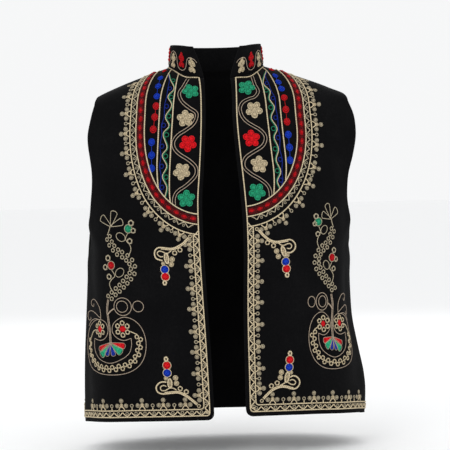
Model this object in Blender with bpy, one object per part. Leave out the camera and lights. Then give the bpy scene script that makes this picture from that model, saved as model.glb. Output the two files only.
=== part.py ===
"""Embroidered folk vest of black fulled wool felt, open down the front, with a standing collar.

Metres, +Z up, front towards -Y, the wearer's left towards +X. The origin is the centre of the neck,
at the height where the shoulder seams meet the collar. Each cut piece of felt is a wall of its own,
and each couched cord, chain band, padded flower and disc is a solid that lies on its panel.
"""
import math
from collections import namedtuple

import bmesh
import bpy
import numpy as np

# ---------------------------------------------------------------- driving dimensions
FELT = 0.0026             # thickness of the felt wall
SEAM_GAP = 0.0003         # between two pieces at a seam
LIFT = 0.0004             # between a panel and what is couched on it
SECTION_POINTS = 90       # points of a section from which distances are measured
SQUARENESS = 2.35         # exponent of the body's sections, 2 is an ellipse
SHOULDER_Y = 0.008        # the shoulder seams lie a little behind the side seams
TIP_Z = -0.045            # height of the shoulder tips
YOKE_Z = -0.062           # below this height the panels follow the section table
UNDERARM_Z = -0.298       # bottom of the armholes
HEM_RIGHT_Z = -0.565      # hem at the front edges: it rides up a little over the chest
HEM_LEFT_Z = -0.561
HEM_SIDE_Z = -0.578       # hem at the sides and the back
CORNER = 0.011            # radius of the lower front corners
BACK_SCOOP = 0.007        # the back is cut narrower than the fronts half way down the armhole
SCOOP_Z = -0.175
SCOOP_HALF = 0.110

NECK_HALF_WIDTH = 0.0785
NECK_DEPTH_FRONT = 0.068
NECK_DEPTH_BACK = 0.064
NECK_DROP_FRONT = 0.0235
NECK_DROP_BACK = 0.003
COLLAR_TOP_SIDE = 0.0365
COLLAR_TOP_FRONT = 0.0290
COLLAR_FLARE = 0.0175     # how far the front ends of the collar open outwards at the top
COLLAR_END = 0.075        # share of the collar's length over which an end opens
COLLAR_OPENS = 1.2        # how late up the collar its ends open, 1 is evenly
COLLAR_LEAN = 0.045       # share by which the collar narrows towards its top

SHOULDER_SHORT = 0.009    # the shoulder seam ends this far inside the armhole's widest reach
SHOULDER_SLOPE = (0.86, 0.14)   # straight and rounded share of the shoulder seam's fall
SHOULDER_FORWARD = 0.6    # share by which the seam comes forward from neck to tip
NECK_CURVE = 1.5          # how late the neck seam drops towards the front
HEM_CURVE = 2.5           # how late the hem drops towards the side seam
CREST = 0.48              # share of the way that a panel runs flat from its shoulder seam
CREST_DROP = 0.10         # share of the fall over that flat run
LANDING = 0.55            # share of the fall in which the panel has turned down into the section
TANGENT_STEP = 0.012      # height below YOKE_Z from which the landing's direction is taken
CORNER_SHARE = 0.45       # share of the corner's lift that the row above the hem takes

# A row of the body: height, how far the outer edge of a front or back reaches to the wearer's right
# and left, depth of the front and the back, angle that the front and the back reach round towards
# the side seam at 90 degrees, and the distance of the two front edges from the middle.
Body = namedtuple("Body", "z right left front back wrap_front wrap_back edge_right edge_left")
BODY = (
    Body(-0.062, 0.202, 0.211, 0.087, 0.097, 61, 61, 0.0245, 0.0185),
    Body(-0.085, 0.209, 0.2185, 0.100, 0.107, 59, 59, 0.0255, 0.0175),
    Body(-0.110, 0.2150, 0.2205, 0.110, 0.115, 58, 57, 0.0270, 0.0180),
    Body(-0.150, 0.2130, 0.2150, 0.120, 0.121, 58, 56, 0.0300, 0.0205),
    Body(-0.180, 0.2110, 0.2085, 0.126, 0.123, 59, 57, 0.0325, 0.0230),
    Body(-0.215, 0.2130, 0.2070, 0.130, 0.123, 63, 61, 0.0355, 0.0255),
    Body(-0.250, 0.2155, 0.2110, 0.133, 0.121, 70, 69, 0.0360, 0.0275),
    Body(-0.278, 0.2165, 0.2120, 0.134, 0.119, 79, 79, 0.0355, 0.0280),
    Body(-0.291, 0.2168, 0.2121, 0.1345, 0.1185, 84.3, 84.3, 0.0352, 0.0280),
    Body(-0.298, 0.2170, 0.2122, 0.135, 0.118, 90, 90, 0.0350, 0.0280),
    Body(-0.360, 0.2205, 0.2128, 0.137, 0.118, 90, 90, 0.0325, 0.0260),
    Body(-0.415, 0.2238, 0.2150, 0.139, 0.121, 90, 90, 0.0300, 0.0250),
    Body(-0.475, 0.2272, 0.2240, 0.141, 0.127, 90, 90, 0.0275, 0.0250),
    Body(-0.520, 0.2285, 0.2300, 0.143, 0.131, 90, 90, 0.0260, 0.0250),
    Body(-0.580, 0.2288, 0.2285, 0.145, 0.135, 90, 90, 0.0245, 0.0250),
)

# A soft trough (depth below zero) or ridge in the felt: the panel, its distance from the front edge, or
# from the middle of the back, its height, half width, half length, sideways lean and depth.
Fold = namedtuple("Fold", "panel across z half_across half_length lean depth")
FOLDS = (
    Fold("front_right", 0.222, -0.340, 0.026, 0.120, 0.08, -0.0045),
    Fold("front_right", 0.170, -0.480, 0.032, 0.140, -0.06, 0.0040),
    Fold("front_right", 0.242, -0.520, 0.024, 0.110, 0.03, -0.0040),
    Fold("front_right", 0.195, -0.170, 0.022, 0.070, 0.14, -0.0035),
    Fold("front_left", 0.215, -0.400, 0.028, 0.110, -0.09, -0.0060),
    Fold("front_left", 0.165, -0.500, 0.032, 0.120, 0.05, 0.0040),
    Fold("front_left", 0.250, -0.530, 0.022, 0.090, 0.03, 0.0045),
    Fold("front_left", 0.190, -0.200, 0.022, 0.080, -0.14, -0.0040),
    Fold("back", -0.150, -0.400, 0.034, 0.190, 0.06, -0.0060),
    Fold("back", -0.066, -0.460, 0.030, 0.140, -0.03, 0.0045),
    Fold("back", 0.034, -0.380, 0.030, 0.170, 0.03, -0.0045),
    Fold("back", 0.140, -0.430, 0.036, 0.160, -0.07, -0.0060),
    Fold("back", 0.222, -0.520, 0.028, 0.100, 0.03, 0.0045),
    Fold("back", -0.185, -0.190, 0.034, 0.090, -0.25, -0.0040),
    Fold("back", 0.185, -0.200, 0.034, 0.090, 0.25, -0.0040),
)

# Distances of a half panel's inner columns from the front edge or the middle of the back. The columns
# beyond them share what is left of the width, up to the armhole or the side seam.
FRONT_REACH = (0.0, 0.0028, 0.0070, 0.0115, 0.023, 0.035, 0.047, 0.058, 0.069, 0.080, 0.093, 0.106,
               0.119, 0.132, 0.146, 0.160, 0.174)
BACK_REACH = (0.0, 0.0135, 0.0270, 0.0405, 0.0540, 0.0670, 0.080, 0.096, 0.112, 0.130, 0.150, 0.170, 0.190)
OUTER_COLUMNS = 6
FRONT_NECK = 9            # the column that runs up to the end of the shoulder seam at the neck
BACK_NECK = 6
YOKE_ROWS = 6             # rows from the shoulder seam down to YOKE_Z
ARMHOLE_ROWS = (-0.062, -0.088, -0.118, -0.152, -0.186, -0.218, -0.245, -0.267, -0.283, -0.292, -0.298)
SKIRT_ROWS = (0.13, 0.27, 0.41, 0.55, 0.69, 0.82, 0.94, 1.0)   # shares from the armhole to the hem

# ---------------------------------------------------------------- materials
FELT_BLACK = (0.0065, 0.0065, 0.0075, 1.0)
BEIGE = (0.60, 0.49, 0.32, 1.0)
RED = (0.56, 0.006, 0.014, 1.0)
GREEN = (0.03, 0.34, 0.18, 1.0)
BLUE = (0.012, 0.045, 0.40, 1.0)


def paint(obj, colour, roughness):
    """Give the object a material of its own."""
    material = bpy.data.materials.new(obj.name + "_material")
    material.use_nodes = True
    shader = material.node_tree.nodes["Principled BSDF"]
    shader.inputs["Base Color"].default_value = colour
    shader.inputs["Roughness"].default_value = roughness
    shader.inputs["Metallic"].default_value = 0.0
    obj.data.materials.append(material)


def build(name, points, faces, colour, roughness=0.9):
    """Make one closed, outward facing object from points and faces."""
    mesh = bpy.data.meshes.new(name)
    mesh.from_pydata([tuple(float(c) for c in p) for p in points], [], faces)
    shape = bmesh.new()
    shape.from_mesh(mesh)
    bmesh.ops.recalc_face_normals(shape, faces=shape.faces)
    if shape.calc_volume(signed=True) < 0:
        bmesh.ops.reverse_faces(shape, faces=shape.faces)
    bmesh.ops.triangulate(shape, faces=[f for f in shape.faces if len(f.verts) > 3])
    shape.to_mesh(mesh)
    shape.free()
    mesh.shade_smooth()
    mesh.set_sharp_from_angle(angle=math.radians(50))
    obj = bpy.data.objects.new(name, mesh)
    bpy.context.scene.collection.objects.link(obj)
    paint(obj, colour, roughness)
    return obj


# ---------------------------------------------------------------- sections of the body
def read(column, z):
    """Value of a column of the body's table at a height, smooth through its rows."""
    heights = np.array([row.z for row in BODY])[::-1]
    values = np.array([getattr(row, column) for row in BODY])[::-1]
    z = min(max(z, heights[0]), heights[-1])
    slopes = np.gradient(values, heights)
    i = int(min(np.searchsorted(heights, z, side="right") - 1, len(heights) - 2))
    span = heights[i + 1] - heights[i]
    t = (z - heights[i]) / span
    start = (1 + 2 * t) * (1 - t) ** 2 * values[i] + t * (1 - t) ** 2 * span * slopes[i]
    end = t * t * (3 - 2 * t) * values[i + 1] + t * t * (t - 1) * span * slopes[i + 1]
    return float(start + end)


def section(half, side, z):
    """Half a front or back at a height, from its inner to its outer edge; side is -1 right, 1 left."""
    power = 2.0 / SQUARENESS
    reach = read("right" if side < 0 else "left", z)
    if half == "back":
        reach -= BACK_SCOOP * max(1 - ((z - SCOOP_Z) / SCOOP_HALF) ** 2, 0.0)
    depth = read(half, z)
    last = math.radians(read("wrap_" + half, z))
    full = reach / math.sin(last) ** power
    first = 0.0
    if half == "front":
        edge = read("edge_right" if side < 0 else "edge_left", z)
        first = math.asin((edge / full) ** (1.0 / power))
    angles = np.linspace(first, last, SECTION_POINTS)
    x = side * full * np.sin(angles) ** power
    y = depth * np.maximum(np.cos(angles), 0.0) ** power
    y[-1] = 0.0 if last > math.radians(89.99) else y[-1]
    return np.stack([x, -y if half == "front" else y], axis=1)


def along(line, distance):
    """The point of a line at a distance along it."""
    steps = np.linalg.norm(np.diff(line, axis=0), axis=1)
    lengths = np.concatenate([[0.0], np.cumsum(steps)])
    return np.array([np.interp(distance, lengths, line[:, k]) for k in range(line.shape[1])])


def width(half, side, z):
    """Width of half a panel round the body, from its inner edge to the armhole or the side seam."""
    return float(np.linalg.norm(np.diff(section(half, side, min(z, YOKE_Z)), axis=0), axis=1).sum())


def spread(half, side, z):
    """Distance of every column of a half panel from its inner edge, at a height."""
    inner = FRONT_REACH if half == "front" else BACK_REACH
    rest = width(half, side, z) - inner[-1]
    return list(inner) + [inner[-1] + rest * (k + 1) / OUTER_COLUMNS for k in range(OUTER_COLUMNS)]


def neck_point(turn):
    """Point of the neck seam; turn is 0 at the front, 90 degrees at the wearer's left, 180 behind."""
    c = math.cos(turn)
    depth = NECK_DEPTH_FRONT if c > 0 else NECK_DEPTH_BACK
    drop = NECK_DROP_FRONT * c ** NECK_CURVE if c > 0 else NECK_DROP_BACK * abs(c)
    return np.array([NECK_HALF_WIDTH * math.sin(turn), SHOULDER_Y - depth * c, -drop])


def shoulder_point(side, share):
    """Point of the shoulder seam at a share of its length from neck to tip."""
    tip = read("right" if side < 0 else "left", YOKE_Z) - SHOULDER_SHORT
    x = NECK_HALF_WIDTH + (tip - NECK_HALF_WIDTH) * share
    z = TIP_Z * (SHOULDER_SLOPE[0] * share + SHOULDER_SLOPE[1] * share ** 3)
    return np.array([side * x, SHOULDER_Y * (1 - SHOULDER_FORWARD * share), z])


def hem_z(half, side, share):
    """Height of the hem at a share of a half panel's width from its inner edge."""
    if half == "back":
        return HEM_SIDE_Z
    inner = HEM_RIGHT_Z if side < 0 else HEM_LEFT_Z
    return inner + (HEM_SIDE_Z - inner) * share ** HEM_CURVE


def yoke_curve(top, low, below):
    """Rows that round over the shoulder from a seam point down to the first section."""
    out = low - top
    flat = np.array([out[0], out[1], 0.0])
    leave = top + flat * CREST + np.array([0, 0, out[2] * CREST_DROP])
    arrive = low + (low - below) * (abs(out[2]) * LANDING / TANGENT_STEP)
    t = (np.arange(YOKE_ROWS) / YOKE_ROWS)[:, None]
    return (1 - t) ** 3 * top + 3 * t * (1 - t) ** 2 * leave + 3 * t * t * (1 - t) * arrive + t ** 3 * low


def half_grid(half, side):
    """Grid of points of half a panel, rows down from the seams and columns out from the inner edge."""
    inner = FRONT_REACH if half == "front" else BACK_REACH
    neck = FRONT_NECK if half == "front" else BACK_NECK
    count = len(inner) + OUTER_COLUMNS
    seam_width = width(half, side, YOKE_Z)
    shares = [d / seam_width for d in spread(half, side, YOKE_Z)]
    start = 0.0
    if half == "front":
        start = math.asin(read("edge_right" if side < 0 else "edge_left", YOKE_Z) / NECK_HALF_WIDTH)
    columns = []
    for j in range(count):
        if j <= neck:
            turn = start + (math.pi / 2 - start) * (shares[j] / shares[neck])
            top = neck_point(turn if half == "front" else math.pi - turn) * np.array([side, 1, 1])
        else:
            top = shoulder_point(side, (shares[j] - shares[neck]) / (1 - shares[neck]))
        skirt = hem_z(half, side, j / (count - 1)) - UNDERARM_Z
        heights = list(ARMHOLE_ROWS) + [UNDERARM_Z + skirt * k for k in SKIRT_ROWS]
        body = [[*along(section(half, side, z), spread(half, side, z)[j]), z] for z in heights]
        under = YOKE_Z - TANGENT_STEP
        below = np.array([*along(section(half, side, under), spread(half, side, under)[j]), under])
        columns.append(np.vstack([yoke_curve(top, np.array(body[0]), below), np.array(body)]))
    return np.stack(columns, axis=1)


def spread_grid(half, side, grid):
    """Distance of every point of a half panel from its inner edge."""
    return np.array([[spread(half, side, float(p[2]))[j] for j, p in enumerate(row)] for row in grid])


def grid_normals(grid):
    """Unit normals of a grid of points, by the differences to its neighbours."""
    down = np.gradient(grid, axis=0)
    across = np.gradient(grid, axis=1)
    normal = np.cross(across, down)
    return normal / np.linalg.norm(normal, axis=2, keepdims=True)


def fold_heights(name, distance, grid):
    """How far the felt stands out at each point of a panel's grid."""
    height = np.zeros(grid.shape[:2])
    z = grid[:, :, 2]
    for fold in FOLDS:
        if fold.panel != name:
            continue
        across = (distance - fold.across - fold.lean * (z - fold.z)) / fold.half_across
        down = (z - fold.z) / fold.half_length
        height += fold.depth * np.exp(-across ** 2) * np.exp(-down ** 2)
    return height


def outward(grid):
    """Normals of a grid turned to face away from the body's axis."""
    normal = grid_normals(grid)
    middle = grid[grid.shape[0] // 2, grid.shape[1] // 2]
    if np.dot(normal[grid.shape[0] // 2, grid.shape[1] // 2][:2], middle[:2]) < 0:
        normal = -normal
    return normal


def settle_edges(normal, grid, neck_columns, skirt_row, seam_columns):
    """Keep the cut edges in the planes of their seams, so two pieces never cross there."""
    normal = normal.copy()
    for j in range(grid.shape[1]):
        if j in neck_columns:
            radial = np.array([grid[0, j, 0], grid[0, j, 1] - SHOULDER_Y, 0.0])
            normal[0, j] = radial / np.linalg.norm(radial)
        else:
            normal[0, j, 1] = 0.0
    for j in seam_columns:
        normal[skirt_row:, j, 1] = 0.0
    return normal / np.linalg.norm(normal, axis=2, keepdims=True)


def wall(name, outer, normal, thickness, colour):
    """A closed wall: an outer grid, the same grid moved in, and the edges between them."""
    rows, cols = outer.shape[:2]
    points = np.vstack([outer.reshape(-1, 3), (outer - normal * thickness).reshape(-1, 3)])
    size = rows * cols

    def at(i, j, layer):
        return layer * size + i * cols + j

    faces = []
    for i in range(rows - 1):
        for j in range(cols - 1):
            faces.append((at(i, j, 0), at(i + 1, j, 0), at(i + 1, j + 1, 0), at(i, j + 1, 0)))
            faces.append((at(i, j, 1), at(i, j + 1, 1), at(i + 1, j + 1, 1), at(i + 1, j, 1)))
    rim = [(0, j) for j in range(cols - 1)]
    rim += [(i, cols - 1) for i in range(rows - 1)]
    rim += [(rows - 1, j) for j in range(cols - 1, 0, -1)]
    rim += [(i, 0) for i in range(rows - 1, 0, -1)]
    for (a, b), (c, d) in zip(rim, rim[1:] + rim[:1]):
        faces.append((at(a, b, 0), at(c, d, 0), at(c, d, 1), at(a, b, 1)))
    return build(name, points, faces, colour)


# ---------------------------------------------------------------- fronts, back and collar
def front_grid(side):
    """Outer points of a front, row by row from the shoulder to the hem, with its normals."""
    name = "front_right" if side < 0 else "front_left"
    grid = half_grid("front", side)
    for j, reach in enumerate(FRONT_REACH):
        if reach < CORNER:
            lift = CORNER - math.sqrt(CORNER ** 2 - (CORNER - reach) ** 2)
            grid[-1, j, 2] += lift
            grid[-2, j, 2] += lift * CORNER_SHARE
    distance = spread_grid("front", side, grid)
    grid += outward(grid) * fold_heights(name, distance, grid)[:, :, None]
    grid[0, FRONT_NECK:, 1] -= SEAM_GAP / 2
    skirt = YOKE_ROWS + len(ARMHOLE_ROWS) - 1
    grid[skirt:, -1, 1] = -SEAM_GAP / 2
    last = grid.shape[1] - 1
    normal = settle_edges(outward(grid), grid, range(FRONT_NECK + 1), skirt, [last])
    return grid, normal, distance


def back_grid():
    """Outer points of the back, from the wearer's right to left, with its normals."""
    right = half_grid("back", -1)
    left = half_grid("back", 1)
    grid = np.concatenate([right[:, ::-1], left[:, 1:]], axis=1)
    distance = np.concatenate([-spread_grid("back", -1, right)[:, ::-1], spread_grid("back", 1, left)[:, 1:]],
                              axis=1)
    grid += outward(grid) * fold_heights("back", distance, grid)[:, :, None]
    middle = right.shape[1] - 1
    grid[0, :middle - BACK_NECK + 1, 1] += SEAM_GAP / 2
    grid[0, middle + BACK_NECK:, 1] += SEAM_GAP / 2
    skirt = YOKE_ROWS + len(ARMHOLE_ROWS) - 1
    for j in (0, 2 * middle):
        grid[skirt:, j, 1] = SEAM_GAP / 2
    neck = range(middle - BACK_NECK, middle + BACK_NECK + 1)
    normal = settle_edges(outward(grid), grid, neck, skirt, [0, 2 * middle])
    return grid, normal, distance


COLLAR_ROWS = 5


def collar_grid(right, left, back):
    """Outer points of the standing collar, raised from the neck edges of the three panels."""
    middle = back.shape[1] // 2
    seam = list(right[0, :FRONT_NECK]) + list(back[0, middle - BACK_NECK:middle + BACK_NECK + 1])
    seam += list(left[0, :FRONT_NECK][::-1])
    seam = np.array(seam)
    steps = np.concatenate([[0.0], np.cumsum(np.linalg.norm(np.diff(seam, axis=0), axis=1))])
    grid = np.zeros((COLLAR_ROWS, len(seam), 3))
    for j, base in enumerate(seam):
        forward = max(SHOULDER_Y - base[1], 0.0) / NECK_DEPTH_FRONT
        top_z = COLLAR_TOP_SIDE + (COLLAR_TOP_FRONT - COLLAR_TOP_SIDE) * forward ** 2
        share = steps[j] / steps[-1]
        near_end = math.exp(-(min(share, 1 - share) / COLLAR_END) ** 2)
        side = -1 if share < 0.5 else 1
        for i in range(COLLAR_ROWS):
            up = 1 - i / (COLLAR_ROWS - 1)
            point = base.copy()
            point[0] += side * COLLAR_FLARE * near_end * up ** COLLAR_OPENS - up * base[0] * COLLAR_LEAN
            point[1] -= up * (base[1] - SHOULDER_Y) * COLLAR_LEAN
            point[2] = base[2] + SEAM_GAP + (top_z - base[2] - SEAM_GAP) * up
            grid[i, j] = point
    normal = outward(grid)
    normal[:, :, 2] = 0
    radial = grid[-1] - np.array([0, SHOULDER_Y, 0])
    radial[:, 2] = 0
    normal[-1] = radial
    normal = normal / np.linalg.norm(normal, axis=2, keepdims=True)
    return grid, normal, np.tile(steps, (COLLAR_ROWS, 1))


# ---------------------------------------------------------------- what lies on the panels
CORD_WIDTH = 0.0022
CORD_HEIGHT = 0.0012
CORD_STEP = 0.0140        # between the sections of a curved cord
STRAIGHT_STEP = 0.0300    # between the sections of a cord that hardly turns
CLOSE_SECTIONS = 0.0012   # sections nearer than this become one
BAND_WIDTH = 0.0085
BAND_HEIGHT = 0.0020
END_GAP = 0.0022          # from a cord's end to the line that it meets squarely
SLANT_GAP = 0.0038        # from a cord's end to the line that it meets at a slant
SEAM_MARGIN = 0.0025      # from a cord's end to the seam
EDGE_CORD = 0.0070        # distance of the front edge cord from the front edge
BORDER_CORD = 0.0158      # distance of the border's inner cord from the front edge
HEM_CORD = 0.0075         # height of the hem's lower cord above the hem
HEM_BORDER = 0.0178       # height of the hem's upper cord above the hem
CORD_TURN = 0.0050        # radius of both cords at the lower front corner
YOKE_WIDEST_Z = -0.105
LEFT_WIDER = 1.055        # the wearer's left yoke is sewn a little wider than the right one
LEFT_RISE = 0.0105        # and ends this much higher

# Outline of a cord and of the band across their run, in shares of their width and height.
CORD_PROFILE = ((-0.5, 0.0), (0.5, 0.0), (0.30, 1.0), (-0.30, 1.0))
BAND_PROFILE = ((-0.5, 0.0), (0.0, 0.0), (0.5, 0.0), (0.34, 1.0), (-0.34, 1.0))

# A curved line of the yoke: its distance from the front edge at the shoulder and where it is widest,
# and the height at which it has swept in to the front edge. Above its widest point it is a parabola,
# below it a quarter of an ellipse.
Sweep = namedtuple("Sweep", "name shoulder widest bottom width height colour")
SWEEPS = (
    Sweep("yoke_cord_outer", 0.1120, 0.1205, -0.2730, CORD_WIDTH, CORD_HEIGHT, BEIGE),
    Sweep("yoke_cord_middle", 0.1038, 0.1108, -0.2570, CORD_WIDTH, CORD_HEIGHT, BEIGE),
    Sweep("yoke_chain_band", 0.0970, 0.1040, -0.2492, BAND_WIDTH, BAND_HEIGHT, RED),
    Sweep("yoke_cord_inner", 0.0902, 0.0972, -0.2410, CORD_WIDTH, CORD_HEIGHT, BEIGE),
)


def fitted(line, side):
    """A line of the yoke at the size of one front."""
    if side < 0:
        return line
    line = line._replace(widest=line.widest * LEFT_WIDER)
    if isinstance(line, Divide):
        return line._replace(neck=line.neck * LEFT_WIDER, low=line.low * LEFT_WIDER)
    return line._replace(shoulder=line.shoulder * LEFT_WIDER, bottom=line.bottom + LEFT_RISE)


# A line that divides the yoke: distance from the front edge at the neck, where it is widest and at
# its lower end on the inner sweep.
Divide = namedtuple("Divide", "name neck widest widest_z low")
DIVIDES = (
    Divide("column_cord_outer", 0.0565, 0.0748, -0.150, 0.0705),
    Divide("column_cord_inner", 0.0405, 0.0540, -0.165, 0.0505),
)

# A padded flower of the yoke: distance from the front edge and height on each front, and colour.
Flower = namedtuple("Flower", "name across_right z_right across_left z_left colour")
FLOWERS = (
    Flower("flower_1", 0.0230, -0.0440, 0.0230, -0.0400, GREEN),
    Flower("flower_2", 0.0320, -0.0885, 0.0362, -0.0765, BEIGE),
    Flower("flower_3", 0.0270, -0.1300, 0.0280, -0.1230, RED),
    Flower("flower_4", 0.0345, -0.1755, 0.0350, -0.1650, BEIGE),
    Flower("flower_5", 0.0250, -0.2170, 0.0270, -0.2080, GREEN),
)
FLOWER_RADIUS = 0.0140
FLOWER_HEIGHT = 0.0026
PETALS = 5
PETAL_POINTS = 4          # outline points of one petal
PETAL_ROUND = 0.7         # below 1 the petals are broad
PETAL_NOTCH = 0.34        # depth of the notch between two petals
HEART_SCALE = 0.3         # rings smaller than this are round
HEART_RISE = 1.15
# Rings of a flower from its underside over the petals to the heart: share of its radius and height.
FLOWER_RINGS = ((0.55, 0.0), (1.0, 0.0), (0.90, 0.62), (0.62, 1.0), (0.28, 0.72), (0.16, 1.12))


def cell(name, across, z):
    """Row and column, in parts of a cell, of a place on a panel's grid."""
    grid, _, distance = PANELS[name]
    rows, cols = distance.shape
    r, c = rows / 2.0, cols / 2.0
    for _ in range(12):
        i = min(int(r), rows - 2)
        f = r - i
        c = float(np.interp(across, distance[i] * (1 - f) + distance[i + 1] * f, np.arange(cols)))
        j = min(int(c), cols - 2)
        h = c - j
        r = float(np.interp(-z, -(grid[:, j, 2] * (1 - h) + grid[:, j + 1, 2] * h), np.arange(rows)))
    return r, c


def on_panel(name, across, z, lift=0.0):
    """Point above a panel at a distance from its inner edge and a height."""
    grid, normal, _ = PANELS[name]
    r, c = cell(name, across, z)
    i, j = min(int(r), grid.shape[0] - 2), min(int(c), grid.shape[1] - 2)
    f, h = r - i, c - j
    corners = ((i, j, (1 - f) * (1 - h)), (i, j + 1, (1 - f) * h), (i + 1, j, f * (1 - h)), (i + 1, j + 1, f * h))
    point = sum(grid[a, b] * w for a, b, w in corners)
    up = sum(normal[a, b] * w for a, b, w in corners)
    return point + up / np.linalg.norm(up) * lift


def top_z(name, across):
    """Height of a panel's upper seam at a distance from its inner edge."""
    grid, _, distance = PANELS[name]
    return float(np.interp(across, distance[0], grid[0, :, 2]))


def bottom_z(name, across):
    """Height of the hem of a panel at a distance from its inner edge, without the rounded corner."""
    grid, _, distance = PANELS[name]
    first = len([d for d in FRONT_REACH if d < CORNER]) if name.startswith("front") else 0
    return float(np.interp(across, distance[-1, first:], grid[-1, first:, 2]))


def section_places(run, cells, step):
    """Where a strip gets its sections: its ends, each line of the panel's grid that it crosses, and
    points between them no further apart than a step."""
    cells = np.array(cells)
    places = [0.0]
    for k in range(len(run) - 1):
        found = []
        for axis in (0, 1):
            a, b = cells[k, axis], cells[k + 1, axis]
            for line in range(math.ceil(min(a, b)), math.floor(max(a, b)) + 1):
                if a != b:
                    found.append(run[k] + (line - a) / (b - a) * (run[k + 1] - run[k]))
        places += [at for at in sorted(found) if at - places[-1] > CLOSE_SECTIONS]
    while len(places) > 1 and run[-1] - places[-1] < CLOSE_SECTIONS:
        places.pop()
    places.append(run[-1])
    filled = [places[0]]
    for at in places[1:]:
        parts = max(int(math.ceil((at - filled[-1]) / step)), 1)
        filled += list(np.linspace(filled[-1], at, parts + 1)[1:])
    return filled


def strip(name, panel, path, size, step, colour):
    """A low strip couched on a panel along a path of (distance, height); size is (width, height)."""
    path = np.array(path)
    turn = np.gradient(path, axis=0)
    turn = turn / np.linalg.norm(turn, axis=1, keepdims=True)
    side = np.stack([turn[:, 1], -turn[:, 0]], axis=1)
    middle = np.array([on_panel(panel, a, z) for a, z in path])
    run = np.concatenate([[0.0], np.cumsum(np.linalg.norm(np.diff(middle, axis=0), axis=1))])
    profile = CORD_PROFILE if size[0] < BAND_WIDTH else BAND_PROFILE
    stations = section_places(run, [cell(panel, a, z) for a, z in path], step)
    count = len(stations) - 1
    points = []
    for distance in stations:
        a, z = np.interp(distance, run, path[:, 0]), np.interp(distance, run, path[:, 1])
        across = np.array([np.interp(distance, run, side[:, k]) for k in (0, 1)])
        for reach, rise in profile:
            shift = across * size[0] * reach
            lift = LIFT * (2 - math.cos(math.pi * reach)) if rise == 0 else LIFT + size[1] * rise
            points.append(on_panel(panel, a + shift[0], z + shift[1], lift))
    corners = len(profile)
    faces = [tuple(range(corners)), tuple(corners * count + k for k in reversed(range(corners)))]
    for i in range(count):
        for k in range(corners):
            a, b = corners * i + k, corners * i + (k + 1) % corners
            faces.append((a, b, b + corners, a + corners))
    return build(name, points, faces, colour)


def flower(name, panel, across, z, colour):
    """A padded flower of rounded petals with a sunk middle and a round heart."""
    count = PETALS * PETAL_POINTS
    points = [on_panel(panel, across, z, LIFT)]
    for scale, rise in FLOWER_RINGS:
        for k in range(count):
            angle = 2 * math.pi * k / count + math.pi / 2
            petal = abs(math.cos((angle - math.pi / 2) * PETALS / 2)) ** PETAL_ROUND
            lobe = 1 - PETAL_NOTCH * (1 - petal) if scale > HEART_SCALE else 1.0
            reach = FLOWER_RADIUS * scale * lobe
            points.append(on_panel(panel, across + reach * math.cos(angle), z + reach * math.sin(angle),
                                   LIFT + FLOWER_HEIGHT * rise))
    points.append(on_panel(panel, across, z, LIFT + FLOWER_HEIGHT * HEART_RISE))
    faces = []
    for k in range(count):
        n = (k + 1) % count
        faces.append((0, 1 + n, 1 + k))
        for ring in range(len(FLOWER_RINGS) - 1):
            a = 1 + ring * count
            faces.append((a + k, a + n, a + count + n, a + count + k))
        last = 1 + (len(FLOWER_RINGS) - 1) * count
        faces.append((last + k, last + n, len(points) - 1))
    return build(name, points, faces, colour, 0.7)


def sweep_path(panel, sweep, stop):
    """Path of a curved yoke line, from the shoulder seam in to a distance from the front edge."""
    start = top_z(panel, sweep.shoulder) - SEAM_MARGIN
    path = []
    for z in np.linspace(start, YOKE_WIDEST_Z, 60)[:-1]:
        up = (z - YOKE_WIDEST_Z) / (start - YOKE_WIDEST_Z)
        path.append((sweep.widest - (sweep.widest - sweep.shoulder) * up ** 2, z))
    end = math.acos(stop / sweep.widest)
    for angle in np.linspace(0, end, 90):
        drop = (YOKE_WIDEST_Z - sweep.bottom) * math.sin(angle)
        path.append((sweep.widest * math.cos(angle), YOKE_WIDEST_Z - drop))
    return path


def divide_path(panel, divide, inner):
    """Path of a line that divides the yoke, from the neck seam down to the inner sweep."""
    start = top_z(panel, divide.neck) - SEAM_MARGIN
    turn = math.acos(divide.low / inner.widest)
    end = YOKE_WIDEST_Z - (YOKE_WIDEST_Z - inner.bottom) * math.sin(turn) + SLANT_GAP
    path = []
    for z in np.linspace(start, end, 90):
        if z > divide.widest_z:
            up = (z - divide.widest_z) / (start - divide.widest_z)
            path.append((divide.widest - (divide.widest - divide.neck) * up ** 3, z))
        else:
            down = (z - divide.widest_z) / (end - divide.widest_z)
            path.append((divide.widest - (divide.widest - divide.low) * down ** 2, z))
    return path


def edge_path(panel, side, reach, height, start):
    """Path of a border cord: down the front edge, round the corner and along the hem."""
    low = bottom_z(panel, reach) + height
    path = [(reach, z) for z in np.linspace(start, low + CORD_TURN, 80)]
    for angle in np.linspace(0, math.pi / 2, 8)[1:]:
        path.append((reach + CORD_TURN * (1 - math.cos(angle)), low + CORD_TURN * (1 - math.sin(angle))))
    end = width("front", side, HEM_SIDE_Z) - SEAM_MARGIN
    path += [(a, bottom_z(panel, a) + height) for a in np.linspace(reach + CORD_TURN, end, 80)[1:]]
    return path


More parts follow.
